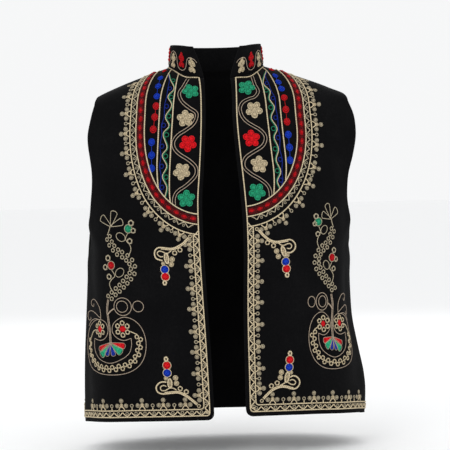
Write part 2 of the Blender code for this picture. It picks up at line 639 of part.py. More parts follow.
def dress_front(side):
    """All the couched cords, the chain band and the flowers of one front."""
    hand = "right" if side < 0 else "left"
    panel = "front_" + hand
    cord = (CORD_WIDTH, CORD_HEIGHT)
    sweeps = [fitted(sweep, side) for sweep in SWEEPS]
    for sweep in sweeps:
        stop = (BORDER_CORD if sweep is sweeps[0] else EDGE_CORD) + END_GAP
        path = sweep_path(panel, sweep, stop)
        strip(sweep.name + "_" + hand, panel, path, (sweep.width, sweep.height), CORD_STEP, sweep.colour)
    for divide in (fitted(line, side) for line in DIVIDES):
        path = divide_path(panel, divide, sweeps[-1])
        strip(divide.name + "_" + hand, panel, path, cord, STRAIGHT_STEP, BEIGE)
    path = edge_path(panel, side, EDGE_CORD, HEM_CORD, top_z(panel, EDGE_CORD) - SEAM_MARGIN)
    strip("edge_cord_" + hand, panel, path, cord, STRAIGHT_STEP, BEIGE)
    path = edge_path(panel, side, BORDER_CORD, HEM_BORDER, sweeps[0].bottom)
    strip("border_cord_" + hand, panel, path, cord, STRAIGHT_STEP, BEIGE)
    for item in FLOWERS:
        across, z = (item.across_right, item.z_right) if side < 0 else (item.across_left, item.z_left)
        flower(item.name + "_" + hand, panel, across, z, item.colour)


def dress_back():
    """The two hem cords of the back."""
    ends = width("back", -1, HEM_SIDE_Z) - SEAM_MARGIN, width("back", 1, HEM_SIDE_Z) - SEAM_MARGIN
    for name, height in (("hem_cord_back", HEM_CORD), ("border_cord_back", HEM_BORDER)):
        path = [(a, HEM_SIDE_Z + height) for a in np.linspace(-ends[0], ends[1], 160)]
        strip(name, "back", path, (CORD_WIDTH, CORD_HEIGHT), STRAIGHT_STEP, BEIGE)


def clear_scene():
    """Remove every object of the scene."""
    for obj in list(bpy.data.objects):
        bpy.data.objects.remove(obj, do_unlink=True)


clear_scene()
PANELS = {}
for wearer_side in (-1, 1):
    panel_name = "front_right" if wearer_side < 0 else "front_left"
    PANELS[panel_name] = front_grid(wearer_side)
PANELS["back"] = back_grid()
PANELS["collar"] = collar_grid(PANELS["front_right"][0], PANELS["front_left"][0], PANELS["back"][0])
for panel_name, (panel_points, panel_normals, _) in PANELS.items():
    wall(panel_name, panel_points, panel_normals, FELT, FELT_BLACK)
for wearer_side in (-1, 1):
    dress_front(wearer_side)
dress_back()
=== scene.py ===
# %% [markdown]
# # An embroidered folk vest
# The vest is cut from black fulled wool: a back, two fronts that stay open, and a standing collar.
# Beige cord, red, green and blue wool are sewn on top. The packed model gives the frame, which never
# moves. Each cut piece is drawn on a flat chart, as a tailor's pattern is, and bent over the body last.

# %% Load the packed frame
import math
from collections import namedtuple

import bmesh
import bpy
import numpy as np
from mathutils import Matrix, Vector


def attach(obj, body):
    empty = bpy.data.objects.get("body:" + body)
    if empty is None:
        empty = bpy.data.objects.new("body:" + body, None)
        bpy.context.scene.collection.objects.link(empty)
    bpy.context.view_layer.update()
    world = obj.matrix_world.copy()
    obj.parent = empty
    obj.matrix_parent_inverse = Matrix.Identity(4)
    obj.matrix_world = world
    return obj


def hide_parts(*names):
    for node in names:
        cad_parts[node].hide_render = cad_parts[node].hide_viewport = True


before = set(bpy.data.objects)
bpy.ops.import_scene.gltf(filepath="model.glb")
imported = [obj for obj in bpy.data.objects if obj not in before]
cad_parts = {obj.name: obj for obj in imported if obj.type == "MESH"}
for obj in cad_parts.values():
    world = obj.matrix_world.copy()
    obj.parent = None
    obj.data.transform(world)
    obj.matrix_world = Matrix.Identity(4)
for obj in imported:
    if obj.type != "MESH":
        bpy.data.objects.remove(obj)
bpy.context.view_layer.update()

scene = bpy.context.scene

# %% [markdown]
# ## The camera
# A long lens far away shows the vest without swelling what is near. The camera stands 4 degrees to
# the wearer's right and leans 1.3 degrees, because a hung vest never faces it quite squarely.

# %% Place the camera
DISTANCE = 3.0            # metres from the vest
FRAME_WIDTH = 0.7425      # metres across the frame at the vest
SENSOR = 36.0             # millimetres
target = Vector((0.0085, 0.0, -0.2610))
turn, rise, lean = math.radians(-4.0), math.radians(1.0), math.radians(-1.3)
back_to_camera = Vector((math.sin(turn) * math.cos(rise), -math.cos(turn) * math.cos(rise),
                         math.sin(rise)))
camera_data = bpy.data.cameras.new("shop_camera")
camera_data.sensor_width = SENSOR
camera_data.lens = SENSOR * DISTANCE / FRAME_WIDTH
camera = bpy.data.objects.new("shop_camera", camera_data)
camera.location = target + back_to_camera * DISTANCE
look = (-back_to_camera).to_track_quat("-Z", "Y").to_matrix().to_4x4()
camera.rotation_euler = (look @ Matrix.Rotation(lean, 4, "Z")).to_euler()
scene.collection.objects.link(camera)
scene.camera = camera
print("lens", round(camera_data.lens, 1), "mm, camera at", [round(c, 3) for c in camera.location])

# %% [markdown]
# ## The body under the cloth
# Felt keeps the shape of the chest under it. A table of sections is the simplest way to hold that
# shape: for each height it gives how far the cloth reaches to each side, to the front and the back.
# A squarish ellipse joins those reaches, and the rows between are filled in smoothly.

# %% Sections of the body
FELT = 0.0026
SEAM_GAP = 0.00005
SQUARENESS = 2.35         # 2 is an ellipse, more is squarer
SECTION_POINTS = 90
SHOULDER_Y, TIP_Z, YOKE_Z, UNDERARM_Z = 0.008, -0.045, -0.062, -0.298
HEM_RIGHT_Z, HEM_LEFT_Z, HEM_SIDE_Z, CORNER = -0.565, -0.561, -0.578, 0.011
BACK_SCOOP, SCOOP_Z, SCOOP_HALF = 0.007, -0.175, 0.110     # the back is cut in at the armholes
SIDE_NAMES = {-1: "right", 1: "left"}
COLUMNS = "z right left front back wrap_front wrap_back edge_right edge_left".split()
BODY = np.array((
    (-0.580, 0.2288, 0.2285, 0.145, 0.135, 90, 90, 0.0245, 0.0250),
    (-0.520, 0.2285, 0.2300, 0.143, 0.131, 90, 90, 0.0260, 0.0250),
    (-0.475, 0.2272, 0.2240, 0.141, 0.127, 90, 90, 0.0275, 0.0250),
    (-0.415, 0.2238, 0.2150, 0.139, 0.121, 90, 90, 0.0300, 0.0250),
    (-0.360, 0.2205, 0.2128, 0.137, 0.118, 90, 90, 0.0325, 0.0260),
    (-0.298, 0.2170, 0.2122, 0.135, 0.118, 90, 90, 0.0350, 0.0280),
    (-0.291, 0.2168, 0.2121, 0.1345, 0.1185, 84.3, 84.3, 0.0352, 0.0280),
    (-0.278, 0.2165, 0.2120, 0.134, 0.119, 79, 79, 0.0355, 0.0280),
    (-0.250, 0.2155, 0.2110, 0.133, 0.121, 70, 69, 0.0360, 0.0275),
    (-0.215, 0.2130, 0.2070, 0.130, 0.123, 63, 61, 0.0355, 0.0255),
    (-0.180, 0.2110, 0.2085, 0.126, 0.123, 59, 57, 0.0325, 0.0230),
    (-0.150, 0.2130, 0.2150, 0.120, 0.121, 58, 56, 0.0300, 0.0205),
    (-0.110, 0.2150, 0.2205, 0.110, 0.115, 58, 57, 0.0270, 0.0180),
    (-0.085, 0.209, 0.2185, 0.100, 0.107, 59, 59, 0.0255, 0.0175),
    (-0.062, 0.202, 0.211, 0.087, 0.097, 61, 61, 0.0245, 0.0185),
))
print("body table", BODY.shape[0], "heights from", BODY[0, 0], "to", BODY[-1, 0], "m")

# %% [markdown]
# ### From the table to a width
# A section is read from the table at any height, and its length round the body is the width of the
# cloth there. Measuring that once for many heights is much faster than doing it for each motif.

# %% Read a section and measure it
def read(column, z):
    """A column of the body's table at a height, smooth through its rows."""
    heights, values = BODY[:, 0], BODY[:, COLUMNS.index(column)]
    z = min(max(z, heights[0]), heights[-1])
    slopes = np.gradient(values, heights)
    i = int(min(np.searchsorted(heights, z, side="right") - 1, len(heights) - 2))
    span = heights[i + 1] - heights[i]
    t = (z - heights[i]) / span
    start = (1 + 2 * t) * (1 - t) ** 2 * values[i] + t * (1 - t) ** 2 * span * slopes[i]
    end = t * t * (3 - 2 * t) * values[i + 1] + t * t * (t - 1) * span * slopes[i + 1]
    return float(start + end)


def section(half, side, z):
    """Half a front or back at a height, from its inner to its outer edge; side is -1 right, 1 left."""
    power = 2.0 / SQUARENESS
    reach = read(SIDE_NAMES[side], z)
    if half == "back":
        reach -= BACK_SCOOP * max(1 - ((z - SCOOP_Z) / SCOOP_HALF) ** 2, 0.0)
    last = math.radians(read("wrap_" + half, z))
    full = reach / math.sin(last) ** power
    first = 0.0
    if half == "front":
        first = math.asin((read("edge_" + SIDE_NAMES[side], z) / full) ** (1.0 / power))
    angles = np.linspace(first, last, SECTION_POINTS)
    y = read(half, z) * np.maximum(np.cos(angles), 0.0) ** power
    y[-1] = 0.0 if last > math.radians(89.99) else y[-1]
    return np.stack([side * full * np.sin(angles) ** power, -y if half == "front" else y], axis=1)


def lengths(line):
    """Distance along a line to each of its points."""
    return np.concatenate([[0.0], np.cumsum(np.linalg.norm(np.diff(line, axis=0), axis=1))])


def along(line, distance):
    """Points of a line at distances along it, carried straight on past its end."""
    run = lengths(line)
    distance = np.asarray(distance, float)
    points = np.stack([np.interp(distance, run, line[:, k]) for k in range(line.shape[1])], axis=-1)
    last = (line[-1] - line[-2]) / (run[-1] - run[-2])
    return points + np.maximum(distance - run[-1], 0.0)[..., None] * last


WIDTH_Z = np.linspace(-0.590, YOKE_Z, 240)
WIDTHS = {(half, side): [lengths(section(half, side, z))[-1] for z in WIDTH_Z]
          for half in ("front", "back") for side in (-1, 1)}


def width(half, side, z):
    """Width of half a panel round the body, from its inner edge to the armhole or the side seam."""
    return np.interp(z, WIDTH_Z, WIDTHS[half, side])


print("hem is", round(2000 * (width("back", -1, -0.57) + width("back", 1, -0.57))), "mm round, about")

# %% [markdown]
# ## A chart for each cut piece
# A tailor draws on flat cloth. So each piece gets a chart: how far a spot lies from the front edge, or
# from the middle of the back, and how high it lies, measured along the felt where it rounds over the
# shoulder. Everything sewn on is drawn flat on that chart. One table of points then bends it on to the
# body, which keeps every motif at its true size and never lets cord sink into the felt.

# %% Seams that bound the charts
NECK = 0.080              # width of the neck seam of half a panel, from its inner edge
NECK_HALF_WIDTH = 0.0785  # from the middle of the neck to its widest place
NECK_DEPTH_FRONT, NECK_DEPTH_BACK = 0.068, 0.064
NECK_DROP_FRONT, NECK_DROP_BACK, NECK_CURVE = 0.0235, 0.003, 1.5
SHOULDER_SHORT, SHOULDER_FORWARD = 0.009, 0.6
SHOULDER_SLOPE = (0.86, 0.14)             # straight and rounded shares of the shoulder's fall
CREST, CREST_DROP, LANDING, TANGENT_STEP, CREST_POINTS = 0.48, 0.10, 0.55, 0.012, 50


def neck_point(turn):
    """Point of the neck seam; turn is 0 at the front, 90 degrees at the wearer's left, 180 behind."""
    c = math.cos(turn)
    depth, drop = NECK_DEPTH_BACK, NECK_DROP_BACK * abs(c)
    if c > 0:
        depth, drop = NECK_DEPTH_FRONT, NECK_DROP_FRONT * c ** NECK_CURVE
    return np.array([NECK_HALF_WIDTH * math.sin(turn), SHOULDER_Y - depth * c, -drop])


def shoulder_point(side, share):
    """Point of the shoulder seam at a share of its length from neck to tip."""
    tip = read(SIDE_NAMES[side], YOKE_Z) - SHOULDER_SHORT
    across = NECK_HALF_WIDTH + (tip - NECK_HALF_WIDTH) * share
    z = TIP_Z * (SHOULDER_SLOPE[0] * share + SHOULDER_SLOPE[1] * share ** 3)
    return np.array([side * across, SHOULDER_Y * (1 - SHOULDER_FORWARD * share), z])


def seam_point(half, side, s):
    """Point of the upper seam of half a panel, at the neck or along the shoulder."""
    if s > NECK:
        return shoulder_point(side, (s - NECK) / (width(half, side, YOKE_Z) - NECK))
    start = 0.0
    if half == "front":
        start = math.asin(read("edge_" + SIDE_NAMES[side], YOKE_Z) / NECK_HALF_WIDTH)
    turn = start + (math.pi / 2 - start) * s / NECK
    return neck_point(turn if half == "front" else math.pi - turn) * np.array([side, 1, 1])


def shoulder_curve(half, side, s):
    """The felt of one column from YOKE_Z up over the shoulder to its seam."""
    low = np.array([*along(section(half, side, YOKE_Z), s), YOKE_Z])
    below = np.array([*along(section(half, side, YOKE_Z - TANGENT_STEP), s), YOKE_Z - TANGENT_STEP])
    top = seam_point(half, side, s)
    out = low - top
    leave = top + np.array([out[0] * CREST, out[1] * CREST, out[2] * CREST_DROP])
    arrive = low + (low - below) * (abs(out[2]) * LANDING / TANGENT_STEP)
    t = np.linspace(1, 0, CREST_POINTS)[:, None]
    return ((1 - t) ** 3 * top + 3 * t * (1 - t) ** 2 * leave + 3 * t * t * (1 - t) * arrive
            + t ** 3 * low)


print("shoulder seams reach", [round(abs(float(shoulder_point(side, 1)[0])) * 1000, 1) for side in (-1, 1)],
      "mm out, at z", TIP_Z * 1000)

# %% [markdown]
# ### Soft folds
# Thick felt doesn't drape like silk. It stands away from the waist in a few long, soft waves and sags
# a little below the armholes. Each fold is listed: where it is, how long, how wide and how
# deep, and which way it leans. They all fade out before a seam, where the double cloth is stiff.

# %% Folds of the felt
FOLDS = {   # how far across, how high, half its width, half its length, its lean, its depth
    "front_right": (
        (0.222, -0.340, 0.026, 0.120, 0.08, -0.0045), (0.170, -0.480, 0.032, 0.140, -0.06, 0.0040),
        (0.242, -0.520, 0.024, 0.110, 0.03, -0.0040), (0.195, -0.170, 0.022, 0.070, 0.14, -0.0035),
        (0.110, -0.400, 0.030, 0.110, 0.10, -0.0015), (0.205, -0.255, 0.012, 0.040, 0.55, 0.0016),
        (0.060, -0.470, 0.026, 0.090, -0.05, 0.0014), (0.265, -0.430, 0.014, 0.070, 0.10, 0.0018)),
    "front_left": (
        (0.215, -0.400, 0.028, 0.110, -0.09, -0.0060), (0.165, -0.500, 0.032, 0.120, 0.05, 0.0040),
        (0.250, -0.530, 0.022, 0.090, 0.03, 0.0045), (0.190, -0.200, 0.022, 0.080, -0.14, -0.0040),
        (0.105, -0.350, 0.028, 0.100, -0.12, -0.0014), (0.060, -0.430, 0.024, 0.110, 0.06, 0.0015),
        (0.208, -0.262, 0.012, 0.036, 0.50, 0.0016), (0.262, -0.360, 0.014, 0.060, -0.08, 0.0016)),
    "back": (
        (-0.150, -0.400, 0.034, 0.190, 0.06, -0.0060), (-0.066, -0.460, 0.030, 0.140, -0.03, 0.0045),
        (0.034, -0.380, 0.030, 0.170, 0.03, -0.0045), (0.140, -0.430, 0.036, 0.160, -0.07, -0.0060),
        (0.222, -0.520, 0.028, 0.100, 0.03, 0.0045), (-0.185, -0.190, 0.034, 0.090, -0.25, -0.0040),
        (0.185, -0.200, 0.034, 0.090, 0.25, -0.0040), (-0.215, -0.330, 0.016, 0.080, 0.12, 0.0018),
        (0.090, -0.520, 0.022, 0.070, -0.06, 0.0016), (-0.020, -0.240, 0.030, 0.060, 0.10, -0.0014),
        (0.200, -0.300, 0.014, 0.060, -0.30, 0.0016), (-0.110, -0.545, 0.020, 0.050, 0.02, 0.0016)),
}
SEAM_FADE, TOP_FADE = 0.022, 0.020        # folds fade out over this much before a seam
FULLING_WAVES, FULLING_DEPTH, FULLING_LENGTHS = 10, 0.00011, (0.030, 0.085)
STEP = 0.0025             # between two points of a chart
Chart = namedtuple("Chart", "points normals s v top facing")
CHARTS = {}


def fold_heights(name, s, v):
    """How far the felt stands out at places of a chart, by its folds and its uneven fulling."""
    height = np.zeros(np.broadcast(s, v).shape)
    for across, z, half_across, half_length, fold_lean, depth in FOLDS.get(name, ()):
        sideways = (s - across - fold_lean * (v - z)) / half_across
        height += depth * np.exp(-sideways ** 2) * np.exp(-((v - z) / half_length) ** 2)
    rng = np.random.default_rng(len(name) * 7 + 3)
    for _ in range(FULLING_WAVES):
        length, angle, phase = rng.uniform(*FULLING_LENGTHS), rng.uniform(0, math.pi), rng.uniform(0, 6.28)
        across = s * math.cos(angle) + v * math.sin(angle)
        height += FULLING_DEPTH * np.sin(across * 2 * math.pi / length + phase)
    return height


def fade(x, reach):
    """0 at a seam, 1 from a distance on, smooth between."""
    t = np.clip(x / reach, 0, 1)
    return t * t * (3 - 2 * t)


print("folds placed by hand:", {name: len(folds) for name, folds in FOLDS.items()})

# %% [markdown]
# ### The tables of points
# A chart holds one point of the body for every 2.5 mm of cloth. Below the yoke a row follows a section;
# above it each column follows the crest over the shoulder. The folds are then stood up along the
# normals, so that felt and thread share them.

# %% Points of a chart
def half_points(half, side, s, v):
    """Plain points of half a panel, before the folds, and the height along the felt of its upper seam."""
    points = np.zeros((len(v), len(s), 3))
    low = v <= YOKE_Z
    for i in np.flatnonzero(low):
        points[i, :, :2] = along(section(half, side, v[i]), s)
        points[i, :, 2] = v[i]
    top = np.zeros(len(s))
    for j, distance in enumerate(s):
        curve = shoulder_curve(half, side, distance)
        points[~low, j] = along(curve, v[~low] - YOKE_Z)
        top[j] = YOKE_Z + lengths(curve)[-1]
    return points, top


def outward(points, facing):
    """Unit normals of a grid of points that face away from the body."""
    normal = np.cross(np.gradient(points, axis=1), np.gradient(points, axis=0)) * facing
    return normal / np.linalg.norm(normal, axis=2, keepdims=True)


def finish_chart(name, points, s, v, top, facing, edge):
    """Stand the folds up from the plain points, and keep the chart."""
    near = fade(edge, SEAM_FADE) * fade(np.maximum(top[None, :] - v[:, None], 0), TOP_FADE)
    height = fold_heights(name, s[None, :], v[:, None]) * near
    points = points + outward(points, facing) * height[:, :, None]
    CHARTS[name] = Chart(points, outward(points, facing), s, v, top, facing)
    print(name, "chart", points.shape[:2], "folds", round(height.min() * 1000, 1), "to",
          round(height.max() * 1000, 1), "mm")


# %% Charts of the fronts and the back
CHART_BOTTOM, CHART_TOP, FRONT_END, BACK_END = -0.5875, 0.0750, 0.3251, 0.3001
FAR = 1.0                 # stands for no seam near
low_to_high = np.arange(CHART_BOTTOM, CHART_TOP, STEP)
for side, name in ((-1, "front_right"), (1, "front_left")):
    s = np.arange(0.0, FRONT_END, STEP)
    points, top = half_points("front", side, s, low_to_high)
    to_side_seam = np.where(low_to_high < UNDERARM_Z, width("front", side, low_to_high), FAR)
    finish_chart(name, points, s, low_to_high, top, side, np.abs(to_side_seam[:, None] - s[None, :]))
s = np.arange(0.0, BACK_END, STEP)
right_points, right_top = half_points("back", -1, s, low_to_high)
left_points, left_top = half_points("back", 1, s, low_to_high)
s_back = np.concatenate([-s[::-1], s[1:]])
to_side_seam = np.array([[width("back", 1 if d > 0 else -1, v) - abs(d) if v < UNDERARM_Z else FAR
                          for d in s_back] for v in low_to_high])
finish_chart("back", np.concatenate([right_points[:, ::-1], left_points[:, 1:]], axis=1), s_back,
             low_to_high, np.concatenate([right_top[::-1], left_top[1:]]), -1, np.abs(to_side_seam))

# %% [markdown]
# ### Reading a chart
# A motif seldom falls on a point of the table, so places between are filled in from the four nearest
# ones. The same reading gives the normal, and a thread is lifted along it to lie on the felt.

# %% Read a chart
HEM_CURVE = 2.5           # the hem of a front falls slowly first, then faster


def lookup(table, chart, s, v):
    """Values of a chart's table at any places, filled in between its points."""
    s, v = np.broadcast_arrays(np.asarray(s, float), np.asarray(v, float))
    a = np.clip((s - chart.s[0]) / (chart.s[1] - chart.s[0]), 0, len(chart.s) - 1.0001)
    b = np.clip((v - chart.v[0]) / (chart.v[1] - chart.v[0]), 0, len(chart.v) - 1.0001)
    j, i = a.astype(int), b.astype(int)
    h, f = (a - j)[..., None], (b - i)[..., None]
    under = table[i, j] * (1 - h) + table[i, j + 1] * h
    over = table[i + 1, j] * (1 - h) + table[i + 1, j + 1] * h
    return under * (1 - f) + over * f


def on_chart(name, s, v, lift=0.0):
    """Points above a cut piece at places of its chart."""
    chart = CHARTS[name]
    up = lookup(chart.normals, chart, s, v)
    up = up / np.linalg.norm(up, axis=-1, keepdims=True)
    return lookup(chart.points, chart, s, v) + up * np.asarray(lift, float)[..., None]


def seam_v(name, s):
    """Height along the felt of a panel's upper seam."""
    return np.interp(s, CHARTS[name].s, CHARTS[name].top)


def felt_v(name, s, z):
    """The chart's height of a place that lies at a true height z."""
    chart = CHARTS[name]
    if z <= YOKE_Z:
        return z
    rows = chart.v >= YOKE_Z
    j = int(min(max((s - chart.s[0]) / STEP, 0), len(chart.s) - 2))
    share = (s - chart.s[j]) / STEP
    heights = chart.points[rows, j, 2] * (1 - share) + chart.points[rows, j + 1, 2] * share
    return float(np.interp(z, heights, chart.v[rows]))


def hem_v(name, s):
    """Height of a panel's hem."""
    if name == "back":
        return np.full(np.shape(s), HEM_SIDE_Z)
    side, inner = (-1, HEM_RIGHT_Z) if name == "front_right" else (1, HEM_LEFT_Z)
    share = np.clip(np.asarray(s) / width("front", side, HEM_SIDE_Z), 0, 1)
    return inner + (HEM_SIDE_Z - inner) * share ** HEM_CURVE


print("middle of the back at the waist:", [round(float(c), 4) for c in on_chart("back", 0.0, -0.4)])

# %% [markdown]
# ## The felt pieces
# Felt is a thin wall with the same thickness everywhere, so each piece is a grid of outer points, the
# same grid moved in by the thickness, and a rim between them. The rim is bevelled a little: scissors
# leave felt with a soft edge, and two soft edges meeting make the line of a seam. Edges that meet
# another piece keep to the plane of their seam, so that pieces never cross.

# %% A wall of felt
SOFT_EDGE, SHARP_ANGLE = 0.0007, math.radians(60)


def object_from(name, points, faces):
    """A mesh object at the origin, smooth shaded."""
    mesh = bpy.data.meshes.new(name)
    mesh.from_pydata([tuple(p) for p in np.asarray(points, float).tolist()], [], faces)
    mesh.shade_smooth()
    obj = bpy.data.objects.new(name, mesh)
    scene.collection.objects.link(obj)
    return obj


def felt_wall(name, outer, normal, facing):
    """A closed wall of felt with softly bevelled edges."""
    rows, cols = outer.shape[:2]
    inner = outer - normal * FELT
    points = np.vstack([outer.reshape(-1, 3), inner.reshape(-1, 3)])
    o, n = np.arange(2 * rows * cols).reshape(2, rows, cols)
    quads = np.stack([o[:-1, :-1], o[:-1, 1:], o[1:, 1:], o[1:, :-1]], -1).reshape(-1, 4)
    inner_quads = np.stack([n[:-1, :-1], n[1:, :-1], n[1:, 1:], n[:-1, 1:]], -1).reshape(-1, 4)
    rim = [(0, j) for j in range(cols)] + [(i, cols - 1) for i in range(1, rows)]
    rim += [(rows - 1, j) for j in range(cols - 2, -1, -1)] + [(i, 0) for i in range(rows - 2, 0, -1)]
    edge = [(o[b], o[a], n[a], n[b]) for a, b in zip(rim, rim[1:] + rim[:1])]
    faces = [tuple(int(k) for k in f) for f in (*quads, *inner_quads, *edge)]
    if facing < 0:
        faces = [f[::-1] for f in faces]
    obj = object_from(name, points, faces)
    shape = bmesh.new()
    shape.from_mesh(obj.data)
    sharp = [e for e in shape.edges if len(e.link_faces) == 2 and e.calc_face_angle() > SHARP_ANGLE]
    bmesh.ops.bevel(shape, geom=sharp, offset=SOFT_EDGE, segments=2, profile=0.6, affect="EDGES",
                    clamp_overlap=True)
    volume = shape.calc_volume(signed=True)
    shape.to_mesh(obj.data)
    shape.free()
    obj.data.shade_smooth()
    area = sum(f.area for f in obj.data.polygons) / 2
    print(name, "volume", round(volume * 1e6, 1), "cm3, area", round(area, 4), "m2,",
          len(obj.data.polygons), "faces")
    return obj


# %% [markdown]
# ### Rows and columns of a panel
# The columns run from hem to seam and the rows from edge to edge, so the cut edges of the cloth are the
# edges of the grid. Below the underarm the last column is the side seam, above it the armhole. Columns
# near a front edge lie closer together, because the rounded corner needs them. The area of the cut is
# measured flat, on the chart.

# %% Rows and columns
SKIRT_ROWS, ARMHOLE_ROWS, YOKE_ROWS = 46, 40, 20
Sheet = namedtuple("Sheet", "felt flat area neck_line")


def settled(normal, outer, neck, seams):
    """Normals turned into the planes of the seams along the upper edge and the side seams."""
    normal = normal.copy()
    radial = outer[-1] - np.array([0, SHOULDER_Y, 0])
    radial[:, 2] = 0
    normal[-1, neck] = radial[neck] / np.linalg.norm(radial[neck], axis=1, keepdims=True)
    normal[-1, ~neck, 1] = 0
    for j in seams:
        normal[:SKIRT_ROWS, j, 1] = 0
    return normal / np.linalg.norm(normal, axis=2, keepdims=True)


def rows_up(name, s, hem):
    """Heights of a panel's rows from hem to seam, each column sharing the same steps."""
    skirt = np.linspace(0, 1, SKIRT_ROWS)[:, None]
    armhole = UNDERARM_Z + (YOKE_Z - UNDERARM_Z) * np.linspace(0, 1, ARMHOLE_ROWS)[1:, None]
    yoke = np.linspace(0, 1, YOKE_ROWS)[1:, None]
    return np.vstack([hem + (UNDERARM_Z - hem) * skirt, np.repeat(armhole, len(s), axis=1),
                      YOKE_Z + (seam_v(name, s) - YOKE_Z) * yoke])


def half_grid(name, half, side, inner, more):
    """Columns of half a panel: the inner ones keep their place, the outer ones share what is left."""
    share = np.concatenate([np.zeros(len(inner)), np.linspace(0, 1, more)[1:]])
    rest = (width(half, side, YOKE_Z) - inner[-1]) * np.linspace(0, 1, more)[1:]
    seam_s = np.concatenate([inner, inner[-1] + rest])
    heights = rows_up(name, side * seam_s if half == "back" else seam_s, np.full(len(seam_s), HEM_SIDE_Z))
    rest = width(half, side, heights) - inner[-1]
    return seam_s, np.where(share > 0, inner[-1] + rest * share, seam_s), heights


def cut_sheet(name, flat, outer, normal, neck, facing, places, heights):
    """Cuts a panel, and keeps it with the flat size and the area of its cloth."""
    area = float(np.sum(np.diff(places, axis=1)[:-1] * np.diff(heights, axis=0)[:, :-1]))
    SHEETS[name] = Sheet(felt_wall("felt_" + name, outer, normal, facing), flat, area, outer[-1][neck])
    print(name, "is cut from", flat, "m, area of the cut", round(area, 4), "m2")


# %% Cut the fronts and the back
NECK_AND_A_HAIR = NECK + 1e-9
EDGE_STEPS = np.array([0.0, 0.0009, 0.0020, 0.0034, 0.0052, 0.0075, 0.0100, 0.0125])
SHEETS = {}
for side, name in ((-1, "front_right"), (1, "front_left")):
    inner = np.concatenate([EDGE_STEPS, np.linspace(EDGE_STEPS[-1], NECK, 18)[1:],
                            np.linspace(NECK, 0.174, 24)[1:]])
    seam_s, places, _ = half_grid(name, "front", side, inner, 19)
    reach = np.clip(seam_s, 0, CORNER)
    corner = CORNER - np.sqrt(np.maximum(CORNER ** 2 - (CORNER - reach) ** 2, 0))
    heights = rows_up(name, seam_s, hem_v(name, places[0]) + np.where(seam_s < CORNER, corner, 0))
    outer = on_chart(name, places, heights, np.zeros_like(heights))
    neck = seam_s <= NECK_AND_A_HAIR
    outer[-1, ~neck, 1] -= SEAM_GAP / 2
    outer[-1, np.flatnonzero(neck)[-1], 1] -= SEAM_GAP / 2
    outer[:SKIRT_ROWS, -1, 1] = -SEAM_GAP / 2
    normal = settled(outward(outer, side), outer, neck, [len(seam_s) - 1])
    cut_sheet(name, (0.300, 0.640), outer, normal, neck, side, places, heights)
inner = np.concatenate([np.linspace(0, NECK, 21), np.linspace(NECK, 0.190, 26)[1:]])
right, left = (half_grid("back", "back", side, inner, 15) for side in (-1, 1))
seam_s = np.concatenate([-right[0][::-1], left[0][1:]])
places = np.concatenate([-right[1][:, ::-1], left[1][:, 1:]], axis=1)
heights = np.concatenate([right[2][:, ::-1], left[2][:, 1:]], axis=1)
outer = on_chart("back", places, heights, np.zeros_like(heights))
neck = np.abs(seam_s) <= NECK_AND_A_HAIR
outer[-1, ~neck, 1] += SEAM_GAP / 2
outer[:SKIRT_ROWS, [0, -1], 1] = SEAM_GAP / 2
normal = settled(outward(outer, -1), outer, neck, [0, len(seam_s) - 1])
cut_sheet("back", (0.600, 0.640), outer, normal, neck, -1, places, heights)

# %% [markdown]
# ### The standing collar
# The collar is a straight band sewn to the neck edges of the three panels. It takes its lower edge from
# their real edge points, so the seam stays closed, and leans in a little towards its top. Its two front
# ends open outwards, because nothing buttons them. Its chart starts at the wearer's left end.

# %% Raise the collar
COLLAR_ROWS, COLLAR_COLUMNS = 22, 170
COLLAR_TOP_SIDE, COLLAR_DIP = 0.0365, 0.0075          # the top's height at the sides, and its fall in front
COLLAR_FLARE, COLLAR_OPENS, COLLAR_END, COLLAR_LEAN = 0.0175, 1.2, 0.075, 0.045
COLLAR_TURNING = 0.012    # cloth that is turned in along the seam


def neck_edge():
    """Points of the neck seam from the wearer's left front end round the back to the right one."""
    left, back, right = (SHEETS[name].neck_line for name in ("front_left", "back", "front_right"))
    line = np.concatenate([left[:-1], back[::-1], right[::-1][1:]])
    return along(line, np.linspace(0, lengths(line)[-1], COLLAR_COLUMNS))


def collar_points(base, steps):
    """Outer points of the collar above its seam points, row by row from the seam to the top."""
    forward = np.maximum(SHOULDER_Y - base[:, 1], 0) / NECK_DEPTH_FRONT
    top_z = COLLAR_TOP_SIDE - COLLAR_DIP * forward ** 2
    share = steps / steps[-1]
    near_end = np.exp(-(np.minimum(share, 1 - share) / COLLAR_END) ** 2)
    flare = np.where(share < 0.5, 1, -1) * COLLAR_FLARE * near_end
    grid = []
    for up in np.linspace(0, 1, COLLAR_ROWS):
        point = base.copy()
        point[:, 0] += flare * up ** COLLAR_OPENS - up * base[:, 0] * COLLAR_LEAN
        point[:, 1] -= up * (base[:, 1] - SHOULDER_Y) * COLLAR_LEAN
        point[:, 2] = base[:, 2] + SEAM_GAP + (top_z - base[:, 2] - SEAM_GAP) * up
        grid.append(point)
    return np.array(grid)


base = neck_edge()
steps = lengths(base)
outer = collar_points(base, steps)
normal = outward(outer, 1)
normal[:, :, 2] = 0
normal[0] = (base - [0, SHOULDER_Y, 0]) * [1, 1, 0]
normal /= np.linalg.norm(normal, axis=2, keepdims=True)
COLLAR_LENGTH = steps[-1]
COLLAR_HEIGHT = float(np.mean(outer[-1, :, 2] - outer[0, :, 2]))
s_even = np.linspace(0, COLLAR_LENGTH, len(steps))
v_even = np.linspace(0, 1, COLLAR_ROWS) * COLLAR_HEIGHT
CHARTS["collar"] = Chart(outer, normal, s_even, v_even, np.full(len(s_even), COLLAR_HEIGHT), 1)
SHEETS["collar"] = Sheet(felt_wall("felt_collar", outer, normal, 1),
                         (COLLAR_LENGTH, COLLAR_HEIGHT + COLLAR_TURNING), COLLAR_LENGTH * COLLAR_HEIGHT, base)
print("collar", round(COLLAR_LENGTH * 1000, 1), "mm long,", round(COLLAR_HEIGHT * 1000, 1), "mm high")
